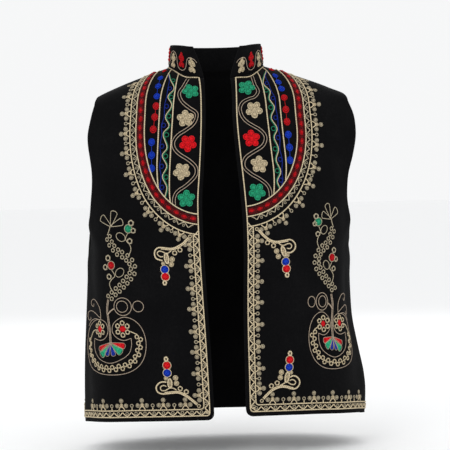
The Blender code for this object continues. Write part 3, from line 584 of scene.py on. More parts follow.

# %% [markdown]
# ## Thread and felt finishes
# Couched cord is twisted, so its colour runs in slanting bands: a painted highlight on the crest of each
# twist and painted shade in the grooves, laid on a smooth round tube. Two attributes that the cord brings
# along tell the material where it is: how far along the cord, and how far round it. A third one paints the
# upward-facing side of every thread lighter and its sides and underside darker, as painted light and
# shade. The felt is matted wool: soft pits and fibres in three sizes, a dull sheen at grazing angles, and a
# few paler fibres of lint that break up the black.

# %% Colours of the wool
BEIGE, DULL_BEIGE, MUTED_BEIGE = (0.57, 0.47, 0.305), (0.42, 0.36, 0.25), (0.40, 0.315, 0.235)
# The deep red is a deeper wool, darkened further with painted shade for the shade among the plait's sunk
# threads.
RED, DEEP_RED_WITH_SHADE, BRIGHT_RED = (0.52, 0.003, 0.008), (0.070, 0.0007, 0.0015), (0.72, 0.004, 0.010)
GREEN, DEEP_GREEN = (0.018, 0.33, 0.165), (0.010, 0.185, 0.095)
BLUE, DEEP_BLUE, BRIGHT_BLUE = (0.003, 0.022, 0.25), (0.002, 0.014, 0.175), (0.003, 0.040, 0.48)
print("beige", BEIGE, "red", RED, "green", GREEN, "blue", BLUE)


# %% Helpers for finishes
def finish(name):
    """A new material, its tree and its shader."""
    material = bpy.data.materials.new(name)
    material.use_nodes = True
    return material, material.node_tree, material.node_tree.nodes["Principled BSDF"]


def preset(made, values):
    """Sets plain values on the sockets of a node."""
    for name, value in values.items():
        made.inputs[name].default_value = value


def plain_node(tree, kind, **settings):
    """A node with its settings."""
    made = tree.nodes.new(kind)
    for key, value in settings.items():
        setattr(made, key, value)
    return made


def carried(tree, name, output="Fac"):
    """A value that the mesh carries in an attribute."""
    return plain_node(tree, "ShaderNodeAttribute", attribute_name=name).outputs[output]


def calc(tree, operation, first, second=0.0):
    """A Math node; each value is a number or a socket."""
    made = plain_node(tree, "ShaderNodeMath", operation=operation)
    for socket, value in zip(made.inputs, (first, second)):
        if isinstance(value, bpy.types.NodeSocket):
            tree.links.new(value, socket)
        else:
            socket.default_value = value
    return made.outputs[0]


def mix(tree, *shares):
    """The sum of values, each times its share."""
    total = calc(tree, "MULTIPLY", *shares[0])
    for value, share in shares[1:]:
        total = calc(tree, "ADD", total, calc(tree, "MULTIPLY", value, share))
    return total


def noise(tree, scale, detail=2.0, roughness=0.5):
    """Noise on the object's own coordinates."""
    made = plain_node(tree, "ShaderNodeTexNoise")
    preset(made, {"Scale": scale, "Detail": detail, "Roughness": roughness})
    tree.links.new(plain_node(tree, "ShaderNodeTexCoord").outputs["Object"], made.inputs["Vector"])
    return made.outputs["Fac"]


def ramp(tree, value, stops):
    """A colour ramp over a value; stops are (place, colour)."""
    made = plain_node(tree, "ShaderNodeValToRGB")
    tree.links.new(value, made.inputs["Fac"])
    elements = made.color_ramp.elements
    while len(elements) < len(stops):
        elements.new(0.5)
    for element, (place, colour) in zip(elements, stops):
        element.position, element.color = place, (*colour, 1.0)
    return made.outputs["Color"]


def rough_up(tree, shader, height, strength, distance):
    """Small relief of a surface."""
    bump = plain_node(tree, "ShaderNodeBump")
    preset(bump, {"Strength": strength, "Distance": distance})
    tree.links.new(height, bump.inputs["Height"])
    tree.links.new(bump.outputs["Normal"], shader.inputs["Normal"])


# %% Finish of the threads
FINE_TWIST, CORD_TWIST = 0.0024, 0.0030   # length of one turn of the strands


def thread_finish(name, colour, pitch=FINE_TWIST):
    """Twisted thread: uneven dye, a soft sheen, painted light and shade in slanting bands and on its top."""
    material, tree, shader = finish(name)
    split = plain_node(tree, "ShaderNodeSeparateXYZ")
    tree.links.new(carried(tree, "round", "Vector"), split.inputs[0])
    # The twist is not in the cord's shape, so its bands are a painted highlight and painted shade along a
    # smooth tube.
    phase = calc(tree, "MULTIPLY", carried(tree, "along"), 2 * math.pi / pitch)
    painted_twist_shading = calc(tree, "ADD", calc(tree, "MULTIPLY", calc(tree, "SINE", phase), split.outputs[0]),
                 calc(tree, "MULTIPLY", calc(tree, "COSINE", phase), split.outputs[1]))
    # Uneven dye from the noise, with painted shade in the twist's grooves and painted light on the thread's
    # top.
    mixed = mix(tree, (painted_twist_shading, 0.20), (noise(tree, 420.0, 3.0), 0.75), (carried(tree, "painted_top_light"), 0.42))
    # Ramp: its two dark stops are painted shade, its top stop is a painted highlight, and the uneven dye runs
    # over the same stops.
    deep, dark = [c * 0.20 for c in colour], [c * 0.55 for c in colour]
    light = [min(c * 1.20 + 0.008, 1.0) for c in colour]
    tree.links.new(ramp(tree, mixed, ((0.22, deep), (0.46, dark), (0.72, colour), (0.98, light))),
                   shader.inputs["Base Color"])
    preset(shader, {"Roughness": 0.66, "Specular IOR Level": 0.10, "Sheen Weight": 0.03,
                    "Sheen Roughness": 0.4})
    rough_up(tree, shader, mixed, 0.55, 0.0004)
    return material


FINISH = {
    "cord_beige": thread_finish("twisted_beige_cord", BEIGE, CORD_TWIST),
    "thread_beige": thread_finish("fine_beige_thread", MUTED_BEIGE),
    "thread_red": thread_finish("red_wool_thread", RED),
    "cord_beige/dull": thread_finish("wound_beige_cord", DULL_BEIGE, CORD_TWIST),
    # The deep red wool also carries painted shade for the plait.
    "thread_red/deep_with_painted_shade": thread_finish("deep_red_thread_with_painted_shade", DEEP_RED_WITH_SHADE),
    "thread_red/bright": thread_finish("bright_red_wool_thread", BRIGHT_RED),
    "thread_blue/deep": thread_finish("deep_blue_wool_thread", DEEP_BLUE),
    "thread_blue/bright": thread_finish("bright_blue_wool_thread", BRIGHT_BLUE),
    "thread_green": thread_finish("green_wool_thread", GREEN),
    "thread_green/deep": thread_finish("deep_green_wool_thread", DEEP_GREEN),
    "thread_blue": thread_finish("blue_wool_thread", BLUE),
}


print("thread finishes", len(FINISH))

# %% [markdown]
# ### Black fulled wool
# Fulling mats the wool until no weave shows. Three noises of different sizes stand for it: a slow cloud
# where the dye took unevenly, the matting, and single fibres. Their highest values turn to pale lint. The
# sheen is weak, because black felt swallows light; more of it would turn the folds grey.

# %% Finish of the felt
FELT_TONES = ((0.30, (0.0015, 0.0015, 0.0018)), (0.52, (0.0029, 0.0029, 0.0033)),
              (0.68, (0.0060, 0.0058, 0.0062)), (0.80, (0.016, 0.015, 0.016)))


def felt_finish():
    """Matted black wool."""
    material, tree, shader = finish("fulled_wool_felt")
    matting, fibre = noise(tree, 260.0, 4.0, 0.6), noise(tree, 1500.0, 3.0, 0.65)
    mixed = mix(tree, (matting, 0.35), (fibre, 0.30), (noise(tree, 14.0, 3.0), 0.35))
    tree.links.new(ramp(tree, mixed, FELT_TONES), shader.inputs["Base Color"])
    preset(shader, {"Roughness": 0.93, "Specular IOR Level": 0.05, "Sheen Weight": 0.009,
                    "Sheen Roughness": 0.55})
    rough_up(tree, shader, mix(tree, (matting, 0.7), (fibre, 0.5)), 0.6, 0.0006)
    return material


FINISH["felt_black"] = felt_finish()
for sheet in SHEETS.values():
    sheet.felt.data.materials.append(FINISH["felt_black"])
print("finishes", list(FINISH))

# %% [markdown]
# ## One tree that embroiders
# All of the needlework is four things: a cord couched along a line, a small loop, a cord wound into a
# flat coil, and a satin stitch. Geometry Nodes suit this, because each repeats by the hundred. A flat
# drawing holds the lines as edges and each loop, coil or stitch as a single point that knows its kind,
# size and turn. The tree lays real cord on all of them at once. Then the mesh is bent by the chart.

# %% Node helpers
def node(tree, kind, settings=None, **inputs):
    """Adds a node, gives it its settings and inputs, and returns its first live output."""
    made = plain_node(tree, kind, **(settings or {}))
    for key, value in inputs.items():
        socket = next(s for s in made.inputs if s.enabled and s.name == key.replace("_", " "))
        if isinstance(value, bpy.types.NodeSocket):
            tree.links.new(value, socket)
        else:
            socket.default_value = value
    return next((s for s in made.outputs if s.enabled), None)


def own(tree, name, kind="FLOAT"):
    """A value that each point of the drawing carries."""
    return node(tree, "GeometryNodeInputNamedAttribute", {"data_type": kind}, Name=name)


def vector(tree, x, y, z):
    """Three values as one."""
    return node(tree, "ShaderNodeCombineXYZ", X=x, Y=y, Z=z)


def moved(tree, geometry, **change):
    """A geometry moved, turned or scaled."""
    return node(tree, "GeometryNodeTransform", Geometry=geometry, **change)


def circle(tree, sides, radius):
    """A closed curve round the middle."""
    return node(tree, "GeometryNodeCurvePrimitiveCircle", {"mode": "RADIUS"}, Resolution=sides, Radius=radius)


def together(tree, parts):
    """Several geometries as one."""
    joined = tree.nodes.new("GeometryNodeJoinGeometry")
    for part in parts:
        tree.links.new(part, joined.inputs[0])
    return joined.outputs[0]


def keep(tree, geometry, name, value, kind="FLOAT"):
    """Writes a named attribute on a geometry's points."""
    return node(tree, "GeometryNodeStoreNamedAttribute", {"data_type": kind, "domain": "POINT"},
                Geometry=geometry, Name=name, Value=value)


def cord_on(tree, curve, radius, sides, stretch, swell=1.0):
    """A round cord along a curve, which remembers how far along and how far round each point is."""
    run = node(tree, "GeometryNodeSplineParameter").node.outputs["Length"]
    curve = keep(tree, curve, "along", calc(tree, "MULTIPLY", run, stretch))
    profile = keep(tree, circle(tree, sides, 1.0), "round", node(tree, "GeometryNodeInputPosition"),
                   "FLOAT_VECTOR")
    profile = moved(tree, profile, Scale=vector(tree, radius, radius, radius))
    return node(tree, "GeometryNodeCurveToMesh", Curve=curve, Profile_Curve=profile, Scale=swell,
                Fill_Caps=True)


print("nodes of Blender", bpy.app.version_string)

# %% [markdown]
# ### Shapes of a loop, a coil and a stitch
# A loop is a thin round cord. A coil has an outer turn of thicker cord, a spiral that climbs to its
# middle, and a low cone under it that closes the gaps. A stitch is a short arc that swells in its
# middle. Each has a few dozen faces only, because some of them are laid down hundreds of times.

# %% Shapes that are laid on points
LOOP, COIL, STITCH = 1, 2, 3
WIRE, WIRE_TURN = 0.26, 0.0034            # half the thickness of a loop's cord, in shares of its radius
COIL_TURN, STITCH_LENGTH = 0.0042, 0.010
COIL_INSET, COIL_FLAT, SINK = 2.9, 0.7, 0.6


def loop_shape(tree):
    """A ring of cord of outer radius 1."""
    return moved(tree, cord_on(tree, circle(tree, 11, 1.0 - WIRE), WIRE, 4, WIRE_TURN),
                 Translation=(0, 0, WIRE * 0.7))


def coil_shape(tree, cord, turns, rise):
    """A cord wound into a flat dome of outer radius 1."""
    rim = cord_on(tree, circle(tree, 10, calc(tree, "SUBTRACT", 1.0, cord)), cord, 4, COIL_TURN)
    rim = moved(tree, rim, Translation=vector(tree, 0.0, 0.0, calc(tree, "MULTIPLY", cord, SINK)))
    inner = calc(tree, "SUBTRACT", 1.0, calc(tree, "MULTIPLY", cord, COIL_INSET))
    coil = node(tree, "GeometryNodeCurveSpiral", Resolution=7, Rotations=turns, Start_Radius=0.05,
                End_Radius=inner, Height=calc(tree, "MULTIPLY", rise, COIL_FLAT))
    coil = cord_on(tree, moved(tree, coil, Scale=(1, 1, -1)), cord, 4, COIL_TURN)
    sink = calc(tree, "ADD", rise, calc(tree, "MULTIPLY", cord, SINK))
    coil = moved(tree, coil, Translation=vector(tree, 0.0, 0.0, sink))
    core = node(tree, "GeometryNodeMeshCone", {"fill_type": "NGON"}, Vertices=10, Radius_Top=0.0,
                Radius_Bottom=0.95, Depth=sink)
    return together(tree, (rim, coil, core))


def stitch_shape(tree):
    """One satin stitch of length 1, thickest in its middle."""
    stitch = node(tree, "GeometryNodeCurvePrimitiveBezierSegment", {"mode": "POSITION"}, Resolution=6,
                  Start=(-0.5, 0, 0), Start_Handle=(-0.3, 0, 0.06), End_Handle=(0.3, 0, 0.06),
                  End=(0.5, 0, 0))
    stitch = node(tree, "GeometryNodeResampleCurve", {"mode": "COUNT"}, Curve=stitch, Count=7)
    part = node(tree, "GeometryNodeSplineParameter").node.outputs["Factor"]
    belly = calc(tree, "POWER", calc(tree, "SINE", calc(tree, "MULTIPLY", part, math.pi)), 0.5)
    belly = calc(tree, "ADD", calc(tree, "MULTIPLY", belly, 0.9), 0.1)
    return cord_on(tree, stitch, 0.5, 5, STITCH_LENGTH, belly)


# %% Build the embroidery tree
SIZES = (("Stitch length", "Float", 0.0016), ("Cord sides", "Int", 6), ("Coil turns", "Float", 1.25),
         ("Coil rise", "Float", 0.30), ("Coil cord", "Float", 0.17))


def embroidery_tree():
    """Cord along the drawing's edges; loops, coils and stitches on its points."""
    tree = bpy.data.node_groups.new("embroider", "GeometryNodeTree")
    face = tree.interface
    face.new_socket("Geometry", in_out="INPUT", socket_type="NodeSocketGeometry")
    for label, kind, value in SIZES:
        face.new_socket(label, in_out="INPUT", socket_type="NodeSocket" + kind).default_value = value
    face.new_socket("Thread", in_out="INPUT", socket_type="NodeSocketMaterial")
    face.new_socket("Geometry", in_out="OUTPUT", socket_type="NodeSocketGeometry")
    given = tree.nodes.new("NodeGroupInput").outputs
    lines = node(tree, "GeometryNodeMeshToCurve", Mesh=given["Geometry"])
    lines = node(tree, "GeometryNodeResampleCurve", {"mode": "LENGTH"}, Curve=lines,
                 Length=given["Stitch length"])
    cords = cord_on(tree, lines, 1.0, given["Cord sides"], 1.0, own(tree, "thick"))
    shapes = ((LOOP, loop_shape(tree)),
              (COIL, coil_shape(tree, given["Coil cord"], given["Coil turns"], given["Coil rise"])),
              (STITCH, stitch_shape(tree)))
    turned = vector(tree, 0.0, 0.0, own(tree, "turn"))
    sized = own(tree, "size", "FLOAT_VECTOR")
    parts = [cords]
    for kind, shape in shapes:
        chosen = node(tree, "FunctionNodeCompare", {"data_type": "INT", "operation": "EQUAL"},
                      A=own(tree, "kind", "INT"), B=kind)
        parts.append(node(tree, "GeometryNodeInstanceOnPoints", Points=given["Geometry"], Selection=chosen,
                          Instance=shape, Rotation=turned, Scale=sized))
    solid = node(tree, "GeometryNodeRealizeInstances", Geometry=together(tree, reversed(parts)))
    done = node(tree, "GeometryNodeSetMaterial", Geometry=solid, Material=given["Thread"])
    tree.links.new(done, tree.nodes.new("NodeGroupOutput").inputs[0])
    return tree


EMBROIDER = embroidery_tree()
print("embroidery tree has", len(EMBROIDER.nodes), "nodes")

# %% [markdown]
# ### A flat drawing
# The drawing is filled as a maker works: a cord is couched along some points, a loop or a coil is set in
# one place, an outline is filled with stitches. Plain lists keep it, because a mesh with attributes is
# quickly made from them.

# %% A flat drawing
NAP = 0.33                # the middle of a couched cord stands this share of its thickness off the felt
SATIN_THREAD, SATIN_RISE, OVERLAP = 0.0008, 0.0016, 2.0


class Drawing:
    """What is sewn on one cut piece in one thread, drawn flat on its chart, in metres."""

    def __init__(self):
        self.points, self.edges, self.thick, self.kind, self.turn, self.size = [], [], [], [], [], []

    def mark(self, s, v, kind, size, turned, lift=0.0):
        """One point that the tree turns into a loop, a coil or a stitch."""
        self.points.append((s, v, lift))
        self.thick.append(0.0)
        self.kind.append(kind)
        self.turn.append(turned)
        self.size.append(tuple(size) if np.ndim(size) else (size, size, size))

    def loop(self, s, v, radius, lift=0.0):
        """A small ring of cord."""
        self.mark(s, v, LOOP, radius, 0.0, lift)

    def coil(self, s, v, radius, lift=0.0, turned=0.0):
        """A cord wound flat; radius is one number, or two radii and a height."""
        self.mark(s, v, COIL, radius, turned, lift)

    def line(self, path, thickness, closed=False, lift=0.0):
        """A couched cord through points of (s, v); the cord lies partly sunk into the nap."""
        first = len(self.points)
        for s, v in path:
            self.points.append((s, v, lift + thickness * NAP))
            self.thick.append(thickness / 2)
            self.kind.append(0)
            self.turn.append(0.0)
            self.size.append((1, 1, 1))
        last = len(self.points) - 1
        self.edges += [(k, k + 1) for k in range(first, last)] + ([(last, first)] if closed else [])

    def satin(self, outline, angle):
        """Fills a closed outline with stitches side by side that run at an angle."""
        outline = np.asarray(outline)
        c, d = math.cos(angle), math.sin(angle)
        turned = np.stack([outline @ [c, d], outline @ [-d, c]], axis=1)
        low, high = turned[:, 1].min(), turned[:, 1].max()
        count = max(int(round((high - low) / SATIN_THREAD)), 2)
        wide = (high - low) / count * OVERLAP
        for k in range(count):
            y = low + (high - low) * (k + 0.5) / count
            a, b = turned, np.roll(turned, -1, axis=0)
            across = (a[:, 1] > y) != (b[:, 1] > y)
            share = (y - a[across, 1]) / (b[across, 1] - a[across, 1])
            x = a[across, 0] + share * (b[across, 0] - a[across, 0])
            if len(x) >= 2:
                middle, span = (x.min() + x.max()) / 2, x.max() - x.min()
                self.mark(middle * c - y * d, middle * d + y * c, STITCH, (span, wide, SATIN_RISE), angle)


print("a drawing keeps", list(vars(Drawing())))

# %% [markdown]
# ### From the drawing to the felt
# The tree is run over the flat drawing and its result is taken out as a plain mesh. Every one of its
# points then moves to the place on the felt that the chart gives for it, lifted by its own height. One
# more attribute remembers which side of a thread faces up before it is bent; the finish paints that side
# lighter and the sides and underside darker, as painted light and shade. Each finished piece is hung on
# its body and given its finish, and the plain solids that it stands for are hidden.

# %% Lay a drawing on its piece
SEWN = {name: [] for name in CHARTS}
COUNT = {"faces": 0, "pieces": 0}
# How the painted top light falls off from a thread's top towards its sides.
TOP_LIGHT_CURVE = 0.7


def flat_object(drawing):
    """The drawing as a plain mesh of points and edges with its attributes."""
    mesh = bpy.data.meshes.new("flat")
    mesh.from_pydata(drawing.points, drawing.edges, [])
    for name, kind, values in (("thick", "FLOAT", drawing.thick), ("turn", "FLOAT", drawing.turn),
                               ("kind", "INT", drawing.kind)):
        mesh.attributes.new(name, kind, "POINT").data.foreach_set("value", values)
    mesh.attributes.new("size", "FLOAT_VECTOR", "POINT").data.foreach_set("vector", np.ravel(drawing.size))
    flat = bpy.data.objects.new("flat", mesh)
    scene.collection.objects.link(flat)
    return flat


def embroidered(drawing, given):
    """The drawing after the tree has run over it, as a plain mesh that is still flat."""
    flat = flat_object(drawing)
    modifier = flat.modifiers.new("embroider", "NODES")
    modifier.node_group = EMBROIDER
    for item in EMBROIDER.interface.items_tree:
        if item.in_out == "INPUT" and item.name in given:
            modifier[item.identifier] = given[item.name]
    graph = bpy.context.evaluated_depsgraph_get()
    mesh = bpy.data.meshes.new_from_object(flat.evaluated_get(graph), preserve_all_data_layers=True,
                                           depsgraph=graph)
    old = flat.data
    bpy.data.objects.remove(flat, do_unlink=True)
    bpy.data.meshes.remove(old)
    return mesh


def sew(name, panel, drawing, thread, stands_for=(), **sizes):
    """Runs the tree over a drawing and bends the result on to a cut piece as a plain mesh."""
    given = {key.replace("_", " "): value for key, value in sizes.items()}
    mesh = embroidered(drawing, {"Thread": FINISH[thread], **given})
    # Painted light and shade: the upward-facing side of each thread is marked to be painted lighter, its
    # sides and underside darker.
    painted_top_light = np.empty(len(mesh.vertices) * 3)
    mesh.vertex_normals.foreach_get("vector", painted_top_light)
    painted_top_light = np.maximum(painted_top_light[2::3], 0.0) ** TOP_LIGHT_CURVE
    mesh.attributes.new("painted_top_light", "FLOAT", "POINT").data.foreach_set("value", painted_top_light)
    points = np.empty(len(mesh.vertices) * 3)
    mesh.vertices.foreach_get("co", points)
    points = points.reshape(-1, 3)
    mesh.vertices.foreach_set("co", on_chart(panel, points[:, 0], points[:, 1], points[:, 2]).ravel())
    if CHARTS[panel].facing < 0:
        mesh.flip_normals()
    mesh.materials.clear()
    mesh.materials.append(FINISH[thread])
    mesh.shade_smooth()
    mesh.name = name
    obj = bpy.data.objects.new(name, mesh)
    scene.collection.objects.link(obj)
    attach(obj, "root")
    if stands_for:
        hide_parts(*stands_for)
    SEWN[panel].append(obj)
    COUNT["faces"] += len(mesh.polygons)
    COUNT["pieces"] += 1


print("pieces to sew on:", list(SEWN))

# %% [markdown]
# ## Lines of the needlework
# Every motif hangs on a line: the two cords along the edge, the sweeps round the yoke and the lines that
# divide it. The lines follow simple rules, an ellipse here and a parabola there, so they are stated by
# their widest and lowest places. Motifs are then set beside a line by two numbers, how far along it and
# how far out.

# %% Lay out the lines
EDGE_CORD, BORDER_CORD, HEM_CORD, HEM_BORDER, CORD_TURN = 0.0070, 0.0158, 0.0075, 0.0178, 0.0050
CORD, THIN, LINE_STEP = 0.0021, 0.0011, 0.0012
SEAM_MARGIN, SIDE_MARGIN, CORD_GAP, CORD_JOIN = 0.0025, 0.0016, 0.001, 0.0012
NECK_END, NECK_CORD_DOWN, NECK_SAG, SAG_PLACE, SAG_HALF = 0.0797, 0.0024, 0.0132, 0.031, 0.0175
YOKE_WIDEST_Z = -0.105
# A sweep: across at the shoulder seam, across at its widest, its lowest height.
SWEEPS = {"yoke_cord_outer": (0.1120, 0.1205, -0.2730), "yoke_cord_middle": (0.1038, 0.1108, -0.2570),
          "yoke_chain_band": (0.0970, 0.1040, -0.2492), "yoke_cord_inner": (0.0902, 0.0972, -0.2410)}
# A dividing line: across at the neck, across at its widest, the height there, across at its foot.
DIVIDES = {"column_cord_outer": (0.0565, 0.0748, -0.150, 0.0705),
           "column_cord_inner": (0.0405, 0.0540, -0.165, 0.0505)}
HANDS = {"right": -1, "left": 1}
WIDER = {"right": 1.0, "left": 1.055}
RISE = {"right": 0.0, "left": 0.0105}


def lay(panel, path, shift=(0.0, 0.0), scale=1.0, pivot=0.0):
    """A path given in millimetres, moved on to a panel's chart and measured along the felt."""
    placed = [((pivot + (s - pivot) * scale + shift[0]) / 1000, (z + shift[1]) / 1000) for s, z in path]
    return np.array([(s, felt_v(panel, s, z)) for s, z in placed])


def smooth(points, closed=False):
    """An even, smooth line through a few places."""
    points = np.asarray(points, float)
    around = np.concatenate([points[-1:], points, points[:2]]) if closed else np.concatenate(
        [2 * points[:1] - points[1:2], points, 2 * points[-1:] - points[-2:-1]])
    t = np.linspace(0, 1, 12, endpoint=False)[:, None]
    a, b, c, d = around[:-3], around[1:-2], around[2:-1], around[3:]
    line = np.concatenate([0.5 * (2 * q + (r - p) * t + (2 * p - 5 * q + 4 * r - w) * t ** 2
                                  + (3 * q - p - 3 * r + w) * t ** 3) for p, q, r, w in zip(a, b, c, d)])
    line = np.concatenate([line, points[:1] if closed else points[-1:]])
    count = max(int(lengths(line)[-1] / LINE_STEP), 3)
    return along(line, np.linspace(0, lengths(line)[-1], count + 1))


def beside(path, run, away=0.0):
    """Places beside a line, at distances along it and out from it, and the direction out."""
    run, away = np.asarray(run, float), np.asarray(away, float)
    total = lengths(path)
    tangent = np.gradient(path, total, axis=0)
    at = np.stack([np.interp(run, total, path[:, k]) for k in (0, 1)], axis=-1)
    way = np.stack([np.interp(run, total, tangent[:, k]) for k in (0, 1)], axis=-1)
    way /= np.linalg.norm(way, axis=-1, keepdims=True)
    out = np.stack([-way[..., 1], way[..., 0]], axis=-1)
    return at + out * away[..., None], out


def sweep_line(hand, name, stop):
    """A curved yoke line from the shoulder seam in to a distance from the front edge."""
    panel, (shoulder, widest, bottom) = "front_" + hand, SWEEPS[name]
    shoulder, widest, bottom = shoulder * WIDER[hand], widest * WIDER[hand], bottom + RISE[hand]
    start = seam_point("front", HANDS[hand], shoulder)[2] - SEAM_MARGIN
    path = []
    for z in np.linspace(start, YOKE_WIDEST_Z, 60)[:-1]:
        up = (z - YOKE_WIDEST_Z) / (start - YOKE_WIDEST_Z)
        path.append((widest - (widest - shoulder) * up ** 2, z))
    for angle in np.linspace(0, math.acos(stop / widest), 90):
        path.append((widest * math.cos(angle), YOKE_WIDEST_Z - (YOKE_WIDEST_Z - bottom) * math.sin(angle)))
    return np.array([(s, felt_v(panel, s, z)) for s, z in path])


def divide_line(hand, name):
    """A line that divides the yoke, from the neck down to the inner sweep."""
    panel, (neck, widest, widest_z, low) = "front_" + hand, DIVIDES[name]
    neck, widest, low = (value * WIDER[hand] for value in (neck, widest, low))
    _, inner_widest, inner_bottom = SWEEPS["yoke_cord_inner"]
    turn = math.acos(low / (inner_widest * WIDER[hand]))
    start = neck_cord_v(panel, neck)
    end = YOKE_WIDEST_Z - (YOKE_WIDEST_Z - inner_bottom - RISE[hand]) * math.sin(turn) + CORD_JOIN
    path = []
    for v in np.linspace(start, end, 90):
        aim, stop, power = (neck, start, 3) if v > widest_z else (low, end, 2)
        path.append((widest - (widest - aim) * ((v - widest_z) / (stop - widest_z)) ** power, v))
    return np.array(path)


def neck_cord_v(panel, s):
    """Height of the cord under the collar: close to the seam, and hanging a little over the collar bone."""
    sag = NECK_SAG * np.exp(-((np.abs(s) - SAG_PLACE) / SAG_HALF) ** 2) if panel != "back" else 0.0
    return seam_v(panel, s) - NECK_CORD_DOWN - sag


def neck_line(panel, start, count):
    """The cord under the collar from a place to the shoulder seam."""
    return np.array([(s, float(neck_cord_v(panel, s))) for s in np.linspace(start, NECK_END, count)])


def border_line(panel, reach, height, start):
    """A border cord: down the front edge, round the corner and along the hem."""
    low = float(hem_v(panel, reach)) + height
    path = [(reach, v) for v in np.linspace(start, low + CORD_TURN, 160)]
    for angle in np.linspace(0, math.pi / 2, 8)[1:]:
        path.append((reach + CORD_TURN * (1 - math.cos(angle)), low + CORD_TURN * (1 - math.sin(angle))))
    end = width("front", HANDS[panel.split("_")[1]], HEM_SIDE_Z) - SIDE_MARGIN
    path += [(s, float(hem_v(panel, s)) + height) for s in np.linspace(reach + CORD_TURN, end, 120)[1:]]
    return np.array(path)


LINES = {}
for hand in HANDS:
    panel = "front_" + hand
    for name in SWEEPS:
        stop = BORDER_CORD - CORD_GAP if name == "yoke_cord_outer" else EDGE_CORD + CORD_GAP
        LINES[name, hand] = sweep_line(hand, name, stop)
    for name in DIVIDES:
        LINES[name, hand] = divide_line(hand, name)
    LINES["edge_cord", hand] = border_line(panel, EDGE_CORD, HEM_CORD, float(neck_cord_v(panel, EDGE_CORD)))
    yoke_foot = SWEEPS["yoke_cord_outer"][2] + RISE[hand]
    LINES["border_cord", hand] = border_line(panel, BORDER_CORD, HEM_BORDER, yoke_foot)
    LINES["neck_cord", hand] = neck_line(panel, EDGE_CORD, 60)
ends = [width("back", side, HEM_SIDE_Z) - SIDE_MARGIN for side in (-1, 1)]
for name, height in (("hem_cord_back", HEM_CORD), ("border_cord_back", HEM_BORDER)):
    LINES[name, "back"] = np.array([(s, HEM_SIDE_Z + height) for s in np.linspace(-ends[0], ends[1], 240)])
LINES["neck_cord", "back"] = neck_line("back", -NECK_END, 90)
print("cord to couch:", round(sum(lengths(line)[-1] for line in LINES.values()), 2), "m")

# %% [markdown]
# ## Border motifs
# A trefoil stands outside the border about every 34 mm, with a small ring between two of them. Between
# the two cords another cord runs to and fro in arches, with a small eye between two of them. They are all
# made of couched cord, so they are drawn with nothing but the four elements of the tree.

# %% Motifs beside a line
# Places are across and away from the line, in millimetres; a coil is two radii and a height, in metres.
LOBES, LOBE = ((0, 15.7), (-7.5, 7.7), (7.5, 7.7)), (0.0037, 0.0037, 0.0034)
LEGS, LEG_CORD = ((-4.9, 1.0), (-3.6, 4.0), (0, 7.2), (3.6, 4.0), (4.9, 1.0)), 0.0018
HEART_AWAY, HEART = 8.3, (0.0035, 0.0032, 0.0040)
RING_AWAY, RING, STALK, OVAL_POINTS = 7.6, 0.0032, (0.8, 2.5, 4.6), 28
ARCH_LOW, ARCH_TALL, ARCH_ROUND, EYE_AWAY = 0.15, 0.71, 0.8, 0.66     # shares of the band


def oval(centre, long, wide, angle=0.0):
    """Points round an oval, in any unit."""
    turns = np.linspace(0, 2 * math.pi, OVAL_POINTS, endpoint=False)
    c, d = math.cos(angle), math.sin(angle)
    return [(centre[0] + long * math.cos(t) * c - wide * math.sin(t) * d,
             centre[1] + long * math.cos(t) * d + wide * math.sin(t) * c) for t in turns]


def spot(foot, out, across, away):
    """A place beside a foot point, in millimetres across and away from its line."""
    return (foot[0] + (-across * out[1] + away * out[0]) / 1000,
            foot[1] + (across * out[0] + away * out[1]) / 1000)


def trefoil(drawing, fine, foot, out, tall=1.0):
    """Three lobes of wound fine cord round a bright heart, which stands on the line with two legs."""
    turn = math.atan2(out[1], out[0])
    for across, away in LOBES:
        s, v = spot(foot, out, across, away * tall)
        fine.coil(s, v, LOBE, 0.0, turn + math.atan2(across, 14.0))
    drawing.coil(*spot(foot, out, 0, HEART_AWAY * tall), HEART, 0.0006, turn)
    legs = [spot(foot, out, across, away * tall) for across, away in LEGS]
    drawing.line(smooth(legs), LEG_CORD, lift=0.0005)


def ring(drawing, fine, foot, out, tall=1.0):
    """A small open ring on a short stalk beside a line."""
    fine.loop(*spot(foot, out, 0, RING_AWAY * tall), RING)
    drawing.line([spot(foot, out, 0, away * tall) for away in STALK], LEG_CORD)


def arches(drawing, fine, line, depth, pitch, thickness=0.0020, eye=2.8, first=0.0, last=None):
    """A cord to and fro across a band: round at the line, pointed opposite, an eye in each turn."""
    last = lengths(line)[-1] if last is None else last
    count = max(int(round((last - first) / pitch)), 2)
    share = np.linspace(0, 1, count * 20 + 1)
    turns = np.abs(np.cos(share * count * math.pi))
    away = depth * (ARCH_LOW + ARCH_TALL * (1 - turns) ** ARCH_ROUND)
    drawing.line(beside(line, first + (last - first) * share, away)[0], thickness)
    for s, v in beside(line, first + (last - first) * np.arange(1, count) / count, depth * EYE_AWAY)[0]:
        fine.loop(s, v, eye / 1000)


def nearest(line, place):
    """Distance along a line of its point nearest to a place."""
    return float(lengths(line)[np.argmin(np.linalg.norm(line - np.asarray(place), axis=1))])


def garland(drawing, fine, line, feet, tall=1.0):
    """Trefoils at distances along a line, and a ring halfway between two."""
    feet = np.asarray(feet)
    for foot, direction in zip(*beside(line, feet)):
        trefoil(drawing, fine, foot, direction, tall)
    for foot, direction in zip(*beside(line, (feet[:-1] + feet[1:]) / 2)):
        ring(drawing, fine, foot, direction, tall)


print("a trefoil has", len(LOBES), "lobes and stands", LOBES[0][1], "mm from its line")

# %% [markdown]
# ### Where the trefoils stand
# A maker spaces trefoils by eye, so their places are a table, and each is moved to the nearest place of
# its cord. Cord and lobes go into drawings of their own, because the lobes are wound from a duller
# wool. The packed model has the couched cords as bare bars, and the twisted ones stand for them.

